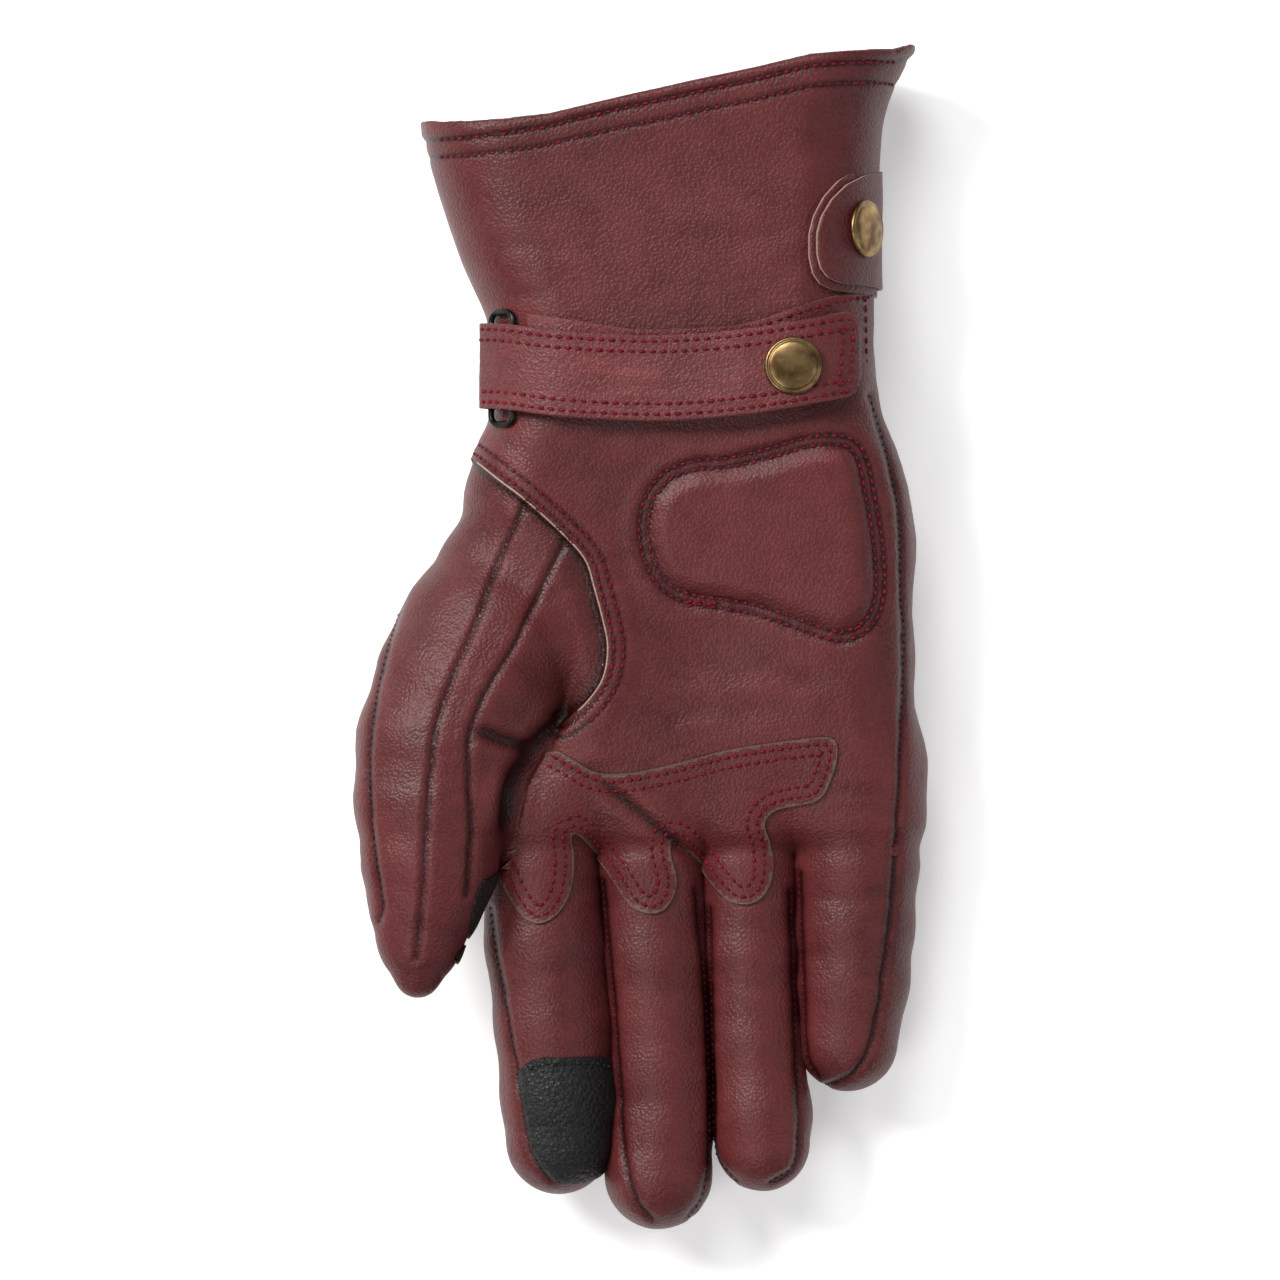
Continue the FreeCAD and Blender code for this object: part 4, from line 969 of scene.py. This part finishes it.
PATCH_LAYER = 0.7
from_index_patch = outline_value(skin_points, INDEX_PATCH)
from_index_patch = np.where(skin_normals[:, 2] > -0.6, from_index_patch, 30)
index_patch = sewn_layer("index_touch_leather", skin_faces[parts["index_finger_leather"]], from_index_patch,
                         PATCH_LAYER, 0.2, black_leather, black_leather, 0)
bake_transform(index_patch)
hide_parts("index_touch_patch")
from_thumb_patch = outline_value(skin_points, THUMB_PATCH)
from_thumb_patch = np.where(skin_normals[:, 0] > -0.1, from_thumb_patch, 30)
thumb_patch = sewn_layer("thumb_touch_leather", skin_faces[parts["thumb_leather"]], from_thumb_patch,
                         PATCH_LAYER, 0.2, black_leather, black_leather, 0)
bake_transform(thumb_patch)
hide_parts("thumb_touch_patch")


def tree_of(*things):
    """Search tree over finished pieces, to lay thread and edges on their surface."""
    points, faces = [], []
    for thing in things:
        start = len(points)
        points += [v.co[:] for v in thing.data.vertices]
        faces += [[start + v for v in face.vertices] for face in thing.data.polygons]
    return BVHTree.FromPolygons(points, faces)


def laid_on(tree, line, height=80):
    """Drop a line drawn from above on a surface. Gives points and normals in metres."""
    points, normals = [], []
    for x, y in line:
        spot, normal = tree.ray_cast(Vector((x * MM, y * MM, height * MM)), Vector((0, 0, -1)))[:2]
        if spot is not None and (not points or (spot - points[-1]).length < 6 * MM):
            points.append(spot)
            normals.append(normal)
    kept = np.array(normals)
    for turn in range(2):
        kept[1:-1] = (kept[:-2] + kept[1:-1] + kept[2:]) / 3
    return np.array(points), kept


def thread_tree():
    """Geometry nodes: one thread dash at each stitch along a sewn line, seated on the leather."""
    tree = bpy.data.node_groups.new("thread_stitches", "GeometryNodeTree")
    tree.interface.new_socket("Geometry", in_out="INPUT", socket_type="NodeSocketGeometry")
    for name, kind, value in (("Pitch", "NodeSocketFloat", 0.0021),
                              ("Stitch Length", "NodeSocketFloat", 0.0017),
                              ("Thread", "NodeSocketFloat", 0.00028), ("Seed", "NodeSocketInt", 5)):
        tree.interface.new_socket(name, in_out="INPUT", socket_type=kind).default_value = value
    tree.interface.new_socket("Material", in_out="INPUT", socket_type="NodeSocketMaterial")
    tree.interface.new_socket("Geometry", in_out="OUTPUT", socket_type="NodeSocketGeometry")
    nodes, links = tree.nodes, tree.links
    given, result = nodes.new("NodeGroupInput"), nodes.new("NodeGroupOutput")
    curve = nodes.new("GeometryNodeMeshToCurve")
    links.new(given.outputs["Geometry"], curve.inputs["Mesh"])
    even = nodes.new("GeometryNodeResampleCurve")
    even.mode = "LENGTH"
    links.new(curve.outputs["Curve"], even.inputs["Curve"])
    links.new(given.outputs["Pitch"], even.inputs["Length"])
    face = nodes.new("GeometryNodeInputNamedAttribute")
    face.data_type = "FLOAT_VECTOR"
    face.inputs["Name"].default_value = "facing"
    tangent = nodes.new("GeometryNodeInputTangent")
    upright = nodes.new("FunctionNodeAlignRotationToVector")
    upright.axis = "Z"
    links.new(face.outputs["Attribute"], upright.inputs["Vector"])
    lying = nodes.new("FunctionNodeAlignRotationToVector")
    lying.axis = "X"
    lying.pivot_axis = "Z"
    links.new(upright.outputs["Rotation"], lying.inputs["Rotation"])
    links.new(tangent.outputs["Tangent"], lying.inputs["Vector"])
    dash = nodes.new("GeometryNodeMeshUVSphere")
    dash.inputs["Segments"].default_value = 6
    dash.inputs["Rings"].default_value = 4
    dash.inputs["Radius"].default_value = 1.0
    long = nodes.new("ShaderNodeMath")
    long.operation = "MULTIPLY"
    long.inputs[1].default_value = 0.5
    links.new(given.outputs["Stitch Length"], long.inputs[0])
    size = nodes.new("ShaderNodeCombineXYZ")
    links.new(long.outputs[0], size.inputs["X"])
    links.new(given.outputs["Thread"], size.inputs["Y"])
    links.new(given.outputs["Thread"], size.inputs["Z"])
    jitter = nodes.new("FunctionNodeRandomValue")
    jitter.data_type = "FLOAT"
    jitter.inputs[2].default_value = 0.85
    jitter.inputs[3].default_value = 1.12
    links.new(given.outputs["Seed"], jitter.inputs["Seed"])
    scaled = nodes.new("ShaderNodeVectorMath")
    scaled.operation = "SCALE"
    links.new(size.outputs[0], scaled.inputs[0])
    links.new(jitter.outputs[1], scaled.inputs["Scale"])
    sew = nodes.new("GeometryNodeInstanceOnPoints")
    links.new(even.outputs["Curve"], sew.inputs["Points"])
    links.new(dash.outputs["Mesh"], sew.inputs["Instance"])
    links.new(lying.outputs["Rotation"], sew.inputs["Rotation"])
    links.new(scaled.outputs[0], sew.inputs["Scale"])
    real = nodes.new("GeometryNodeRealizeInstances")
    links.new(sew.outputs["Instances"], real.inputs["Geometry"])
    paint = nodes.new("GeometryNodeSetMaterial")
    links.new(real.outputs["Geometry"], paint.inputs["Geometry"])
    links.new(given.outputs["Material"], paint.inputs["Material"])
    links.new(paint.outputs["Geometry"], result.inputs["Geometry"])
    return tree


thread_stitches = thread_tree()
STITCH_POINTS = 20


def thread(name, dark, light):
    """Twisted sewing thread."""
    paint, nodes, links, shader = new_paint(name)
    twist = cloudy(nodes, links, 1500)
    links.new(two_tone(nodes, links, twist, dark, light, 0.35, 0.65), shader.inputs["Base Color"])
    shader.inputs["Roughness"].default_value = 0.6
    shader.inputs["Specular IOR Level"].default_value = 0.2
    return paint


crimson_thread = thread("crimson_thread", (0.050, 0.0005, 0.004, 1), (0.175, 0.0015, 0.014, 1))
black_thread = thread("black_thread", (0.004, 0.004, 0.004, 1), (0.012, 0.012, 0.012, 1))


def stitches(name, tree, lines, paint, pitch=2.1, length=1.5, radius=0.40, sink=0.0, seed=5):
    """Sew thread dashes along drawn lines, laid on the pieces in the tree. Sizes are in mm."""
    points, facing_way, runs = [], [], []
    for line in lines:
        spots, normals = laid_on(tree, line)
        if len(spots) < 3:
            continue
        start = len(points)
        points += list(spots - normals * sink * MM)
        facing_way += list(normals)
        runs += [(start + k, start + k + 1) for k in range(len(spots) - 1)]
    rows = new_object(f"{name}_rows", points, (), runs)
    way = rows.data.attributes.new("facing", "FLOAT_VECTOR", "POINT")
    way.data.foreach_set("vector", np.asarray(facing_way, np.float32).ravel())
    modifier = rows.modifiers.new("sewing", "NODES")
    modifier.node_group = thread_stitches
    values = {"Pitch": pitch * MM, "Stitch Length": length * MM, "Thread": radius * MM, "Seed": seed,
              "Material": paint}
    for item in thread_stitches.interface.items_tree:
        if item.item_type == "SOCKET" and item.in_out == "INPUT" and item.name in values:
            modifier[item.identifier] = values[item.name]
    seen = rows.evaluated_get(bpy.context.evaluated_depsgraph_get())
    mesh = bpy.data.meshes.new_from_object(seen)
    bpy.data.objects.remove(rows)
    thing = bpy.data.objects.new(name, mesh)
    bpy.context.scene.collection.objects.link(thing)
    mesh.polygons.foreach_set("use_smooth", [True] * len(mesh.polygons))
    return thing


def split_stitches(thing, paint):
    """Part a sewn row where it runs over from the hand on to the fingers, one piece to a body."""
    mesh = thing.data
    points = np.array([v.co[:] for v in mesh.vertices]) / MM
    faces = [tuple(face.vertices) for face in mesh.polygons]
    middle = points.reshape(-1, STITCH_POINTS, 3).mean(axis=1)
    gaps = np.stack([stall_distance(middle, STALLS[name], 0.96) for name in FINGERS])
    owner = np.where(middle[:, 1] < FINGER_CUT, gaps.argmin(axis=0), -1)
    name = thing.name
    bpy.data.objects.remove(thing)
    made = {}
    for number, body in [(-1, "hand")] + list(enumerate(FINGERS)):
        mine = [face for face in faces if owner[face[0] // STITCH_POINTS] == number]
        if not mine:
            continue
        used = sorted({v for face in mine for v in face})
        index = {v: k for k, v in enumerate(used)}
        piece = new_object(f"{name}_{body}", (points[used] * MM).tolist(),
                           [[index[v] for v in face] for face in mine])
        piece.data.polygons.foreach_set("use_smooth", [True] * len(piece.data.polygons))
        piece.data.materials.append(paint)
        made[body] = piece
        if body == "hand":
            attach(piece, "hand")
        else:
            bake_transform(piece)
    return made


palm_tree = tree_of(*[skin[name] for name in ("palm_leather", "heel_pad_leather", "cuff_palm_leather")])
layer_tree = tree_of(*[bpy.data.objects[name] for name in bands])
thumb_tree = tree_of(skin["thumb_leather"])
glove_tree = tree_of(*[thing for name, thing in skin.items() if name != "cuff_lining_fleece"])

heel_line = np.vstack([smooth_line(HEEL_PAD[12:] + HEEL_PAD[:12]), smooth_line(HEEL_PAD[11:13])])
heel_rows = stitches("heel_pad_stitches", palm_tree, [shifted(heel_line, 0.0), shifted(heel_line, 2.0)],
                     crimson_thread, pitch=1.9, length=1.5, seed=1)
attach(heel_rows, "hand")
tack = stitches("heel_pad_back_tack", palm_tree, [smooth_line(((11.2, 8.6), (13.4, 8.0), (16.6, 8.2))),
                                                 smooth_line(((11, 7.6), (13.6, 8.6), (16.2, 7.4)))],
                crimson_thread, pitch=1.0, length=1.6, radius=0.32, sink=-0.2, seed=2)
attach(tack, "hand")
band_line = smooth_line(REINFORCEMENT + REINFORCEMENT[:1])
band_rows = stitches("reinforcement_stitches", layer_tree,
                     [shifted(band_line, -1.7), shifted(band_line, -3.9)], crimson_thread,
                     pitch=2.0, length=1.55, seed=3)
split_stitches(band_rows, crimson_thread)

hole_line = smooth_line(THUMB_HOLE)
hole_rows = stitches("thumb_hole_stitches", palm_tree,
                     [shifted(hole_line, 1.6)[4:-6], shifted(hole_line, 3.8)[2:-6]], crimson_thread,
                     pitch=2.0, length=1.55, seed=4)
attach(hole_rows, "hand")

hole_spots, hole_normals = laid_on(palm_tree, shifted(hole_line, 0.35)[6:-5])


def edge_cord(name, spots, normals, radius, paint, sides=6):
    """Thin cut edge of a leather panel, run along a line that was laid on the surface."""
    slope = np.gradient(spots, axis=0)
    slope /= np.linalg.norm(slope, axis=1)[:, None]
    across = np.cross(slope, normals)
    across /= np.linalg.norm(across, axis=1)[:, None]
    points = []
    for k in range(sides):
        turn = 2 * math.pi * k / sides
        points.append(spots / MM + radius * (math.cos(turn) * across + 1.3 * math.sin(turn) * normals))
    rings = np.stack(points, axis=1).reshape(-1, 3)
    faces = []
    for row in range(len(spots) - 1):
        for k in range(sides):
            a, b = row * sides + k, row * sides + (k + 1) % sides
            faces += [(a, a + sides, b + sides), (a, b + sides, b)]
    last = (len(spots) - 1) * sides
    faces += [(0, k, k + 1) for k in range(1, sides - 1)]
    faces += [(last, last + k + 1, last + k) for k in range(1, sides - 1)]
    return make_piece(name, rings, np.array(faces), paint)


hole_edge = edge_cord("thumb_hole_raw_edge", hole_spots, hole_normals, 0.22, raw_edge)
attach(hole_edge, "hand")

hem_line = smooth_line(HEM_EDGE[2:-1])
sewn_rows = [hem_line - np.stack([hem_line[:, 0] * 0, np.interp(hem_line[:, 0], HEM_ROW_PLACES, depths)], 1)
             for depths in HEM_ROWS]
hem_rows = stitches("hem_stitches", palm_tree, sewn_rows, crimson_thread, pitch=2.1, length=1.6, seed=6)
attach(hem_rows, "hand")

patch_line = smooth_line(INDEX_PATCH[1:6])
patch_rows = stitches("index_patch_stitches", tree_of(index_patch), [shifted(patch_line, -1.4)], black_thread,
                      pitch=1.7, length=1.3, seed=7)
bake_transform(patch_rows)

seam_rows = stitches("seam_stitches", glove_tree, [smooth_line(line) for name, line in SEAMS.items()
                                                   if not name.startswith("thumb")], crimson_thread,
                     pitch=1.6, length=0.8, radius=0.17, sink=-0.05, seed=8)
split_stitches(seam_rows, crimson_thread)
thumb_rows = stitches("thumb_seam_stitches", thumb_tree, [smooth_line(line) for name, line in SEAMS.items()
                                                          if name.startswith("thumb")], crimson_thread,
                      pitch=1.6, length=0.8, radius=0.17, sink=-0.05, seed=9)
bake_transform(thumb_rows)


# ---- wrist strap, its ring and its keeper ----------------------------------------------------
# A doubled oxblood strap runs from the little-finger side through a dark wire ring and folds back
# over itself, held by one brass press stud. Both layers have raw edges, the free layer two rows of stitching
# and the base layer one.

LEFT_AXIS, RIGHT_AXIS, WRIST_UP, WRIST_RADIUS = -13.5, 31.5, 22.5, 19.5
RING_BAR = (-32.94, 33.73)
FREE_LIFT, BASE_LIFT = 4.9, 1.2
STRAP_LINE = ((-37, 60.8), (-30, 60.2), (-18, 58.4), (2, 57.4), (18, 58.2), (33.5, 60.3), (46, 62.8),
              (50, 63.6))
BASE_LINE = ((-34, 62.8), (-24, 62.4), (-12, 60.6), (0, 59.0), (17, 59.4), (26, 61.0), (35, 64.0), (45, 67.0),
             (54, 68.4))

strap_leather = leather("oxblood_strap", (0.020, 0.0022, 0.0025, 1), (0.175, 0.034, 0.036, 1), craze=0.3,
                        bump_mm=0.26)


def ply(name, middles, normals, thickness, paint, edge_paint, wear_and_shade=None):
    """Closed leather ply from rows of middle points and their normals, with softly rounded rims."""
    rows, columns = middles.shape[:2]
    r, c = np.meshgrid(np.arange(rows), np.arange(columns), indexing="ij")
    rim = np.minimum(np.minimum(r, rows - 1 - r), np.minimum(c, columns - 1 - c))
    half = thickness / 2 * np.where(rim == 0, 0.72, np.where(rim == 1, 0.94, 1.0))[..., None]
    top = (middles + normals * half).reshape(-1, 3)
    low = (middles - normals * half).reshape(-1, 3)
    index = np.arange(rows * columns).reshape(rows, columns)
    a, b, c2, d = index[:-1, :-1], index[1:, :-1], index[1:, 1:], index[:-1, 1:]
    upper_faces = np.stack([a, b, c2, d], -1).reshape(-1, 4)
    shift = rows * columns
    loop = np.concatenate([index[:-1, 0], index[-1, :-1], index[:0:-1, -1], index[0, :0:-1]])
    after = np.roll(loop, -1)
    wall = np.stack([loop, loop + shift, after + shift, after], 1)
    faces = np.vstack([upper_faces, upper_faces[:, ::-1] + shift, wall])
    slots = np.concatenate([np.zeros(2 * len(upper_faces), int), np.ones(len(wall), int)])
    points = np.vstack([top, low])
    first = faces[len(upper_faces) // 2]
    way = np.cross(points[first[1]] - points[first[0]], points[first[2]] - points[first[0]])
    if way @ normals.reshape(-1, 3)[first[0]] < 0:
        faces = faces[:, ::-1]
    shade = None if wear_and_shade is None else np.tile(wear_and_shade.reshape(-1), 2)
    return make_piece(name, points, faces, paint, edge_paint, face_paint=slots, wear_and_shade=shade)


def wrist_path(lift, start, end_across, spacing=0.8):
    """Line round the palm side of the wrist: x, z and outward normal. start is an angle in degrees."""
    radius = WRIST_RADIUS + lift
    path = []
    for turn in np.radians(np.arange(start, 0, -spacing / radius * 57.3)):
        path.append((LEFT_AXIS - radius * math.sin(turn), WRIST_UP + radius * math.cos(turn),
                     -math.sin(turn), math.cos(turn)))
    for x in np.arange(LEFT_AXIS, RIGHT_AXIS, spacing):
        path.append((x, WRIST_UP + radius, 0, 1))
    limit = math.asin(min((end_across - RIGHT_AXIS) / radius, 1))
    for turn in np.linspace(0, limit, int(limit * radius / spacing) + 2):
        path.append((RIGHT_AXIS + radius * math.sin(turn), WRIST_UP + radius * math.cos(turn),
                     math.sin(turn), math.cos(turn)))
    return np.array(path)


def fold_path(spacing=0.5):
    """Half turn round the ring's bar, from the hidden inner end out to the free layer."""
    radius = FREE_LIFT - 2.95
    out = np.array((-math.sin(math.radians(60)), math.cos(math.radians(60))))
    round_the_bar = np.array((-out[1], out[0]))
    path = []
    for turn in np.linspace(-math.pi / 2 - 0.35, math.pi / 2, int(math.pi * radius / spacing) + 3)[:-1]:
        way = math.sin(turn) * out + math.cos(turn) * round_the_bar
        path.append((RING_BAR[0] + radius * way[0], RING_BAR[1] + radius * way[1], way[0], way[1]))
    return np.array(path)


def strap_rows(path, line, width, corner_start, corner_end, columns=25):
    """Rows across a strap along its path, narrowed to round corners at either end."""
    step = np.linalg.norm(np.diff(path[:, :2], axis=0), axis=1)
    run = np.concatenate([[0], np.cumsum(step)])
    centre = np.interp(path[:, 0], *np.array(smooth_line(line)).T)
    half = np.full(len(run), width / 2)
    for corner, left in ((corner_start, run), (corner_end, run[-1] - run)):
        if corner:
            inner = np.clip(corner - left, 0, corner)
            half = np.minimum(half, width / 2 - corner + np.sqrt(corner ** 2 - inner ** 2 + 1e-6))
    across = np.sin(np.linspace(-1, 1, columns) * math.pi / 2 * 0.96) / math.sin(math.pi / 2 * 0.96)
    middles = np.zeros((len(path), columns, 3))
    middles[..., 0] = path[:, 0][:, None]
    middles[..., 1] = centre[:, None] + across[None, :] * half[:, None]
    middles[..., 2] = path[:, 1][:, None]
    normals = np.zeros_like(middles)
    normals[..., 0], normals[..., 2] = path[:, 2][:, None], path[:, 3][:, None]
    return middles, normals, run


def strap_wear(middles, normals, seed):
    """Long creases and dents along a strap, and where they are rubbed pale."""
    flat = middles.reshape(-1, 3)
    long = ripple(flat * (0.16, 1, 0.16), 1.5, seed) + 0.6 * ripple(flat * (0.2, 1, 0.2), 0.8, seed + 1)
    middle_part = np.exp(-((flat[:, 0] + 2) / 26) ** 2) * np.exp(-((flat[:, 1] - 58) / 7.5) ** 2)
    dents = 0.22 * ripple(flat, 8.0, seed + 2) + 0.13 * long * (0.35 + middle_part)
    shaped = flat + normals.reshape(-1, 3) * dents[:, None]
    wear_and_shade = 0.1 + 0.32 * np.clip(long, 0, 1) * middle_part + 0.12 * ripple(flat, 10.0, seed + 3)
    return shaped.reshape(middles.shape), wear_and_shade


def edge_rows(middles, inset):
    """Drawn line from above, set in from a strap's outline by the same distance all round."""
    low, high = middles[:, 0, :2], middles[:, -1, :2]
    tops = np.vstack([low, high[::-1]])
    line = smooth_line(tops[::3], 0.8)
    return shifted(line, inset)


base_path = wrist_path(BASE_LIFT, 34, 51.6)
base_middles, base_normals, run = strap_rows(base_path, BASE_LINE, 18.6, 0, 0)
base_middles, base_rubbed = strap_wear(base_middles, base_normals, 51)
strap_base = ply("strap_base_layer", base_middles, base_normals, 1.1, strap_leather, raw_edge, base_rubbed)
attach(strap_base, "hand")
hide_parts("strap_base")

free_path = np.vstack([fold_path(), wrist_path(FREE_LIFT, 60, 48.2)])
free_middles, free_normals, run = strap_rows(free_path, STRAP_LINE, 18.8, 0, 4.5)
sag = 1.5 * np.sin(np.clip((run - 6) / 62, 0, 1) * math.pi) ** 0.8
free_middles[..., 2] -= sag[:, None]
free_middles, free_rubbed = strap_wear(free_middles, free_normals, 61)
strap_free = ply("strap_free_layer", free_middles, free_normals, 1.4, strap_leather, raw_edge, free_rubbed)
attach(strap_free, "strap_end")
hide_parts("strap_free_end")
free_tree = tree_of(strap_free)
strap_stitches = stitches("strap_stitches", free_tree, [edge_rows(free_middles[10:], 1.4),
                                                        edge_rows(free_middles[10:], 3.7)],
                          crimson_thread, pitch=2.3, length=1.7, radius=0.42, seed=10)
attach(strap_stitches, "strap_end")
base_tree = tree_of(strap_base)
base_stitches = stitches("strap_base_stitches", base_tree, [edge_rows(base_middles[30:], 1.4)],
                         crimson_thread, pitch=2.3, length=1.7, radius=0.42, seed=11)
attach(base_stitches, "hand")


def metal(name, dark, light, roughness, scale=260):
    """Plated metal with patches of tarnish and fine scratches."""
    paint, nodes, links, shader = new_paint(name)
    tarnish = cloudy(nodes, links, scale, 5)
    links.new(two_tone(nodes, links, tarnish, dark, light, 0.35, 0.7), shader.inputs["Base Color"])
    gloss = nodes.new("ShaderNodeMapRange")
    gloss.inputs["To Min"].default_value = roughness + 0.12
    gloss.inputs["To Max"].default_value = roughness - 0.06
    links.new(tarnish, gloss.inputs["Value"])
    links.new(gloss.outputs["Result"], shader.inputs["Roughness"])
    links.new(bumped(nodes, links, cloudy(nodes, links, 2600), 0.15, 0.03), shader.inputs["Normal"])
    shader.inputs["Metallic"].default_value = 1.0
    return paint


antique_brass = metal("antique_brass", (0.10, 0.055, 0.024, 1), (0.36, 0.24, 0.11, 1), 0.34)
gunmetal = metal("gunmetal_wire", (0.012, 0.011, 0.011, 1), (0.05, 0.047, 0.045, 1), 0.36)
for node, paint in (("wrist_ring", gunmetal), ("strap_snap_stud", antique_brass),
                    ("strap_snap_socket", antique_brass), ("tab_snap_stud", antique_brass),
                    ("tab_snap_socket", antique_brass)):
    mesh = frame["nodes"][node].data
    mesh.materials.clear()
    mesh.materials.append(paint)

KEEPER_HALF = 5.0
keeper_low, keeper_high = [np.array(corner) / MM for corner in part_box("ring_keeper")]
keeper_middle = (keeper_low + keeper_high) / 2
keeper_turns = np.linspace(-0.6, math.pi + 0.6, 22)
keeper_points = np.zeros((len(keeper_turns), 9, 3))
keeper_ways = np.zeros_like(keeper_points)
tilt = math.radians(42)
for row, turn in enumerate(keeper_turns):
    along_loop, up_loop = math.cos(turn) * 1.9, math.sin(turn) * 1.15
    keeper_points[row, :, 0] = keeper_middle[0] + along_loop * math.cos(tilt) - up_loop * math.sin(tilt)
    keeper_points[row, :, 2] = keeper_middle[2] + along_loop * math.sin(tilt) + up_loop * math.cos(tilt)
    keeper_points[row, :, 1] = keeper_middle[1] + np.linspace(-KEEPER_HALF, KEEPER_HALF, 9)
    keeper_ways[row, :, 0] = math.cos(turn) * math.cos(tilt) - math.sin(turn) * math.sin(tilt)
    keeper_ways[row, :, 2] = math.cos(turn) * math.sin(tilt) + math.sin(turn) * math.cos(tilt)
keeper = ply("ring_keeper_loop", keeper_points, keeper_ways, 0.8, strap_leather, raw_edge)
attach(keeper, "hand")
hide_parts("ring_keeper")


# ---- cuff tab ----------------------------------------------------------------------------------
# Two plies of leather, the lower one a little larger so that its raw edge shows all round. The tab
# is sewn into the little-finger edge of the cuff and wraps on to the palm side under a press stud.

TAB_AXIS = (29.0, 22.0)
TAB_OUTLINE = ((76.6, 46.5), (77.0, 42.2), (78.2, 39.4), (80.4, 37.8), (84, 37.0), (89, 37.0), (93, 38.0),
               (97.4, 40.4), (101.2, 43.8), (103.8, 47.8), (106.0, 52.6))
TAB_TOP_ROWS = 60


def tab_rows(radius, trim, end_angle):
    """Rows of a tab ply about the cuff's edge, from its rounded tip round to the sewn root."""
    along = np.array(TAB_OUTLINE)[:, 0]
    low, high = along[0] + trim, along[-1] - trim * 0.8
    share = (1 - np.cos(np.linspace(0, math.pi, TAB_TOP_ROWS))) / 2
    ys = low + (high - low) * share
    middle = (along[0] + along[-1]) / 2
    stretched = middle + (ys - middle) * (along[-1] - along[0]) / (high - low)
    tips = np.interp(stretched, along, np.array(TAB_OUTLINE)[:, 1]) + trim
    points = np.zeros((len(ys), 44, 3))
    ways = np.zeros_like(points)
    for row, (y, tip) in enumerate(zip(ys, tips)):
        start = math.asin(min((tip - TAB_AXIS[0]) / radius, 0.999))
        turn = np.linspace(start, math.radians(end_angle), 44)
        points[row, :, 0] = TAB_AXIS[0] + radius * np.sin(turn)
        points[row, :, 1] = y
        points[row, :, 2] = TAB_AXIS[1] + radius * np.cos(turn)
        ways[row, :, 0], ways[row, :, 2] = np.sin(turn), np.cos(turn)
    dents = 0.2 * ripple(points.reshape(-1, 3), 7.0, 71).reshape(points.shape[:2])
    return points + ways * dents[..., None], ways


for name, radius, trim, node in (("tab_lower_ply", 23.55, 0, "tab_inner"),
                                 ("tab_upper_ply", 24.75, 1.7, "tab_outer")):
    points, ways = tab_rows(radius, trim, 99)
    tab_piece = ply(name, points, ways, 1.05, strap_leather, raw_edge)
    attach(tab_piece, "cuff_tab")
    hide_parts(node)

anchor_points = np.zeros((24, 16, 3))
anchor_ways = np.zeros_like(anchor_points)
for row, turn in enumerate(np.radians(np.linspace(100.5, 117, 24))):
    radius = 23.4 - 0.2 * row / 23
    anchor_points[row, :, 0] = TAB_AXIS[0] + radius * math.sin(turn)
    anchor_points[row, :, 2] = TAB_AXIS[1] + radius * math.cos(turn)
    anchor_points[row, :, 1] = np.linspace(78.6, 101.5, 16)
    anchor_ways[row, :, 0], anchor_ways[row, :, 2] = math.sin(turn), math.cos(turn)
anchor = ply("tab_anchor_strip", anchor_points, anchor_ways, 1.4, strap_leather, raw_edge)
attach(anchor, "hand")
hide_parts("tab_anchor")


# ---- press-stud caps ---------------------------------------------------------------------------
# Antique brass caps, pressed from sheet: a low dome with a rolled rim, set on the strap and the tab.

CAP_PROFILE = ((0, 1.75), (2.2, 1.68), (4.0, 1.5), (5.0, 1.28), (5.35, 1.02), (5.55, 0.93), (5.8, 1.0),
               (6.1, 0.86), (6.27, 0.55), (6.2, 0.2), (5.9, 0.0), (5.2, -0.08), (1.6, -0.1), (1.4, -1.4),
               (0, -1.4))
CAP_SIDES = 72


def cap(name, centre, tilt, body, node):
    """Turned cap about its own axis, then tilted on to the leather."""
    points, faces = [], []
    profile = smooth_line(CAP_PROFILE, 0.16)
    profile[0, 0] = profile[-1, 0] = 0
    for radius, up in profile[1:-1]:
        for k in range(CAP_SIDES):
            turn = 2 * math.pi * k / CAP_SIDES
            points.append((max(radius, 0.02) * math.cos(turn), max(radius, 0.02) * math.sin(turn), up))
    rings = len(profile) - 2
    for ring in range(rings - 1):
        for k in range(CAP_SIDES):
            a, b = ring * CAP_SIDES + k, ring * CAP_SIDES + (k + 1) % CAP_SIDES
            faces += [(a, a + CAP_SIDES, b + CAP_SIDES), (a, b + CAP_SIDES, b)]
    points += [(0, 0, profile[0, 1]), (0, 0, profile[-1, 1])]
    last = (rings - 1) * CAP_SIDES
    for k in range(CAP_SIDES):
        after = (k + 1) % CAP_SIDES
        faces += [(len(points) - 2, k, after), (len(points) - 1, last + after, last + k)]
    p = np.array(points)
    lean = math.radians(tilt)
    turned = np.stack([p[:, 0] * math.cos(lean) + p[:, 2] * math.sin(lean), p[:, 1],
                       -p[:, 0] * math.sin(lean) + p[:, 2] * math.cos(lean)], axis=1)
    thing = make_piece(name, turned + np.array(centre), np.array(faces), antique_brass)
    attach(thing, body)
    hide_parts(node)


for name, node, tilt, axis, radius, along, body in (
        ("strap_cap", "strap_snap_cap", 4.3, (31.5, 22.5), 25.15, 60, "strap_end"),
        ("tab_cap", "tab_snap_cap", 55, TAB_AXIS, 25.35, 90.8, "cuff_tab")):
    turn = math.radians(tilt)
    centre = (axis[0] + radius * math.sin(turn), along, axis[1] + radius * math.cos(turn))
    cap(name, centre, tilt, body, node)
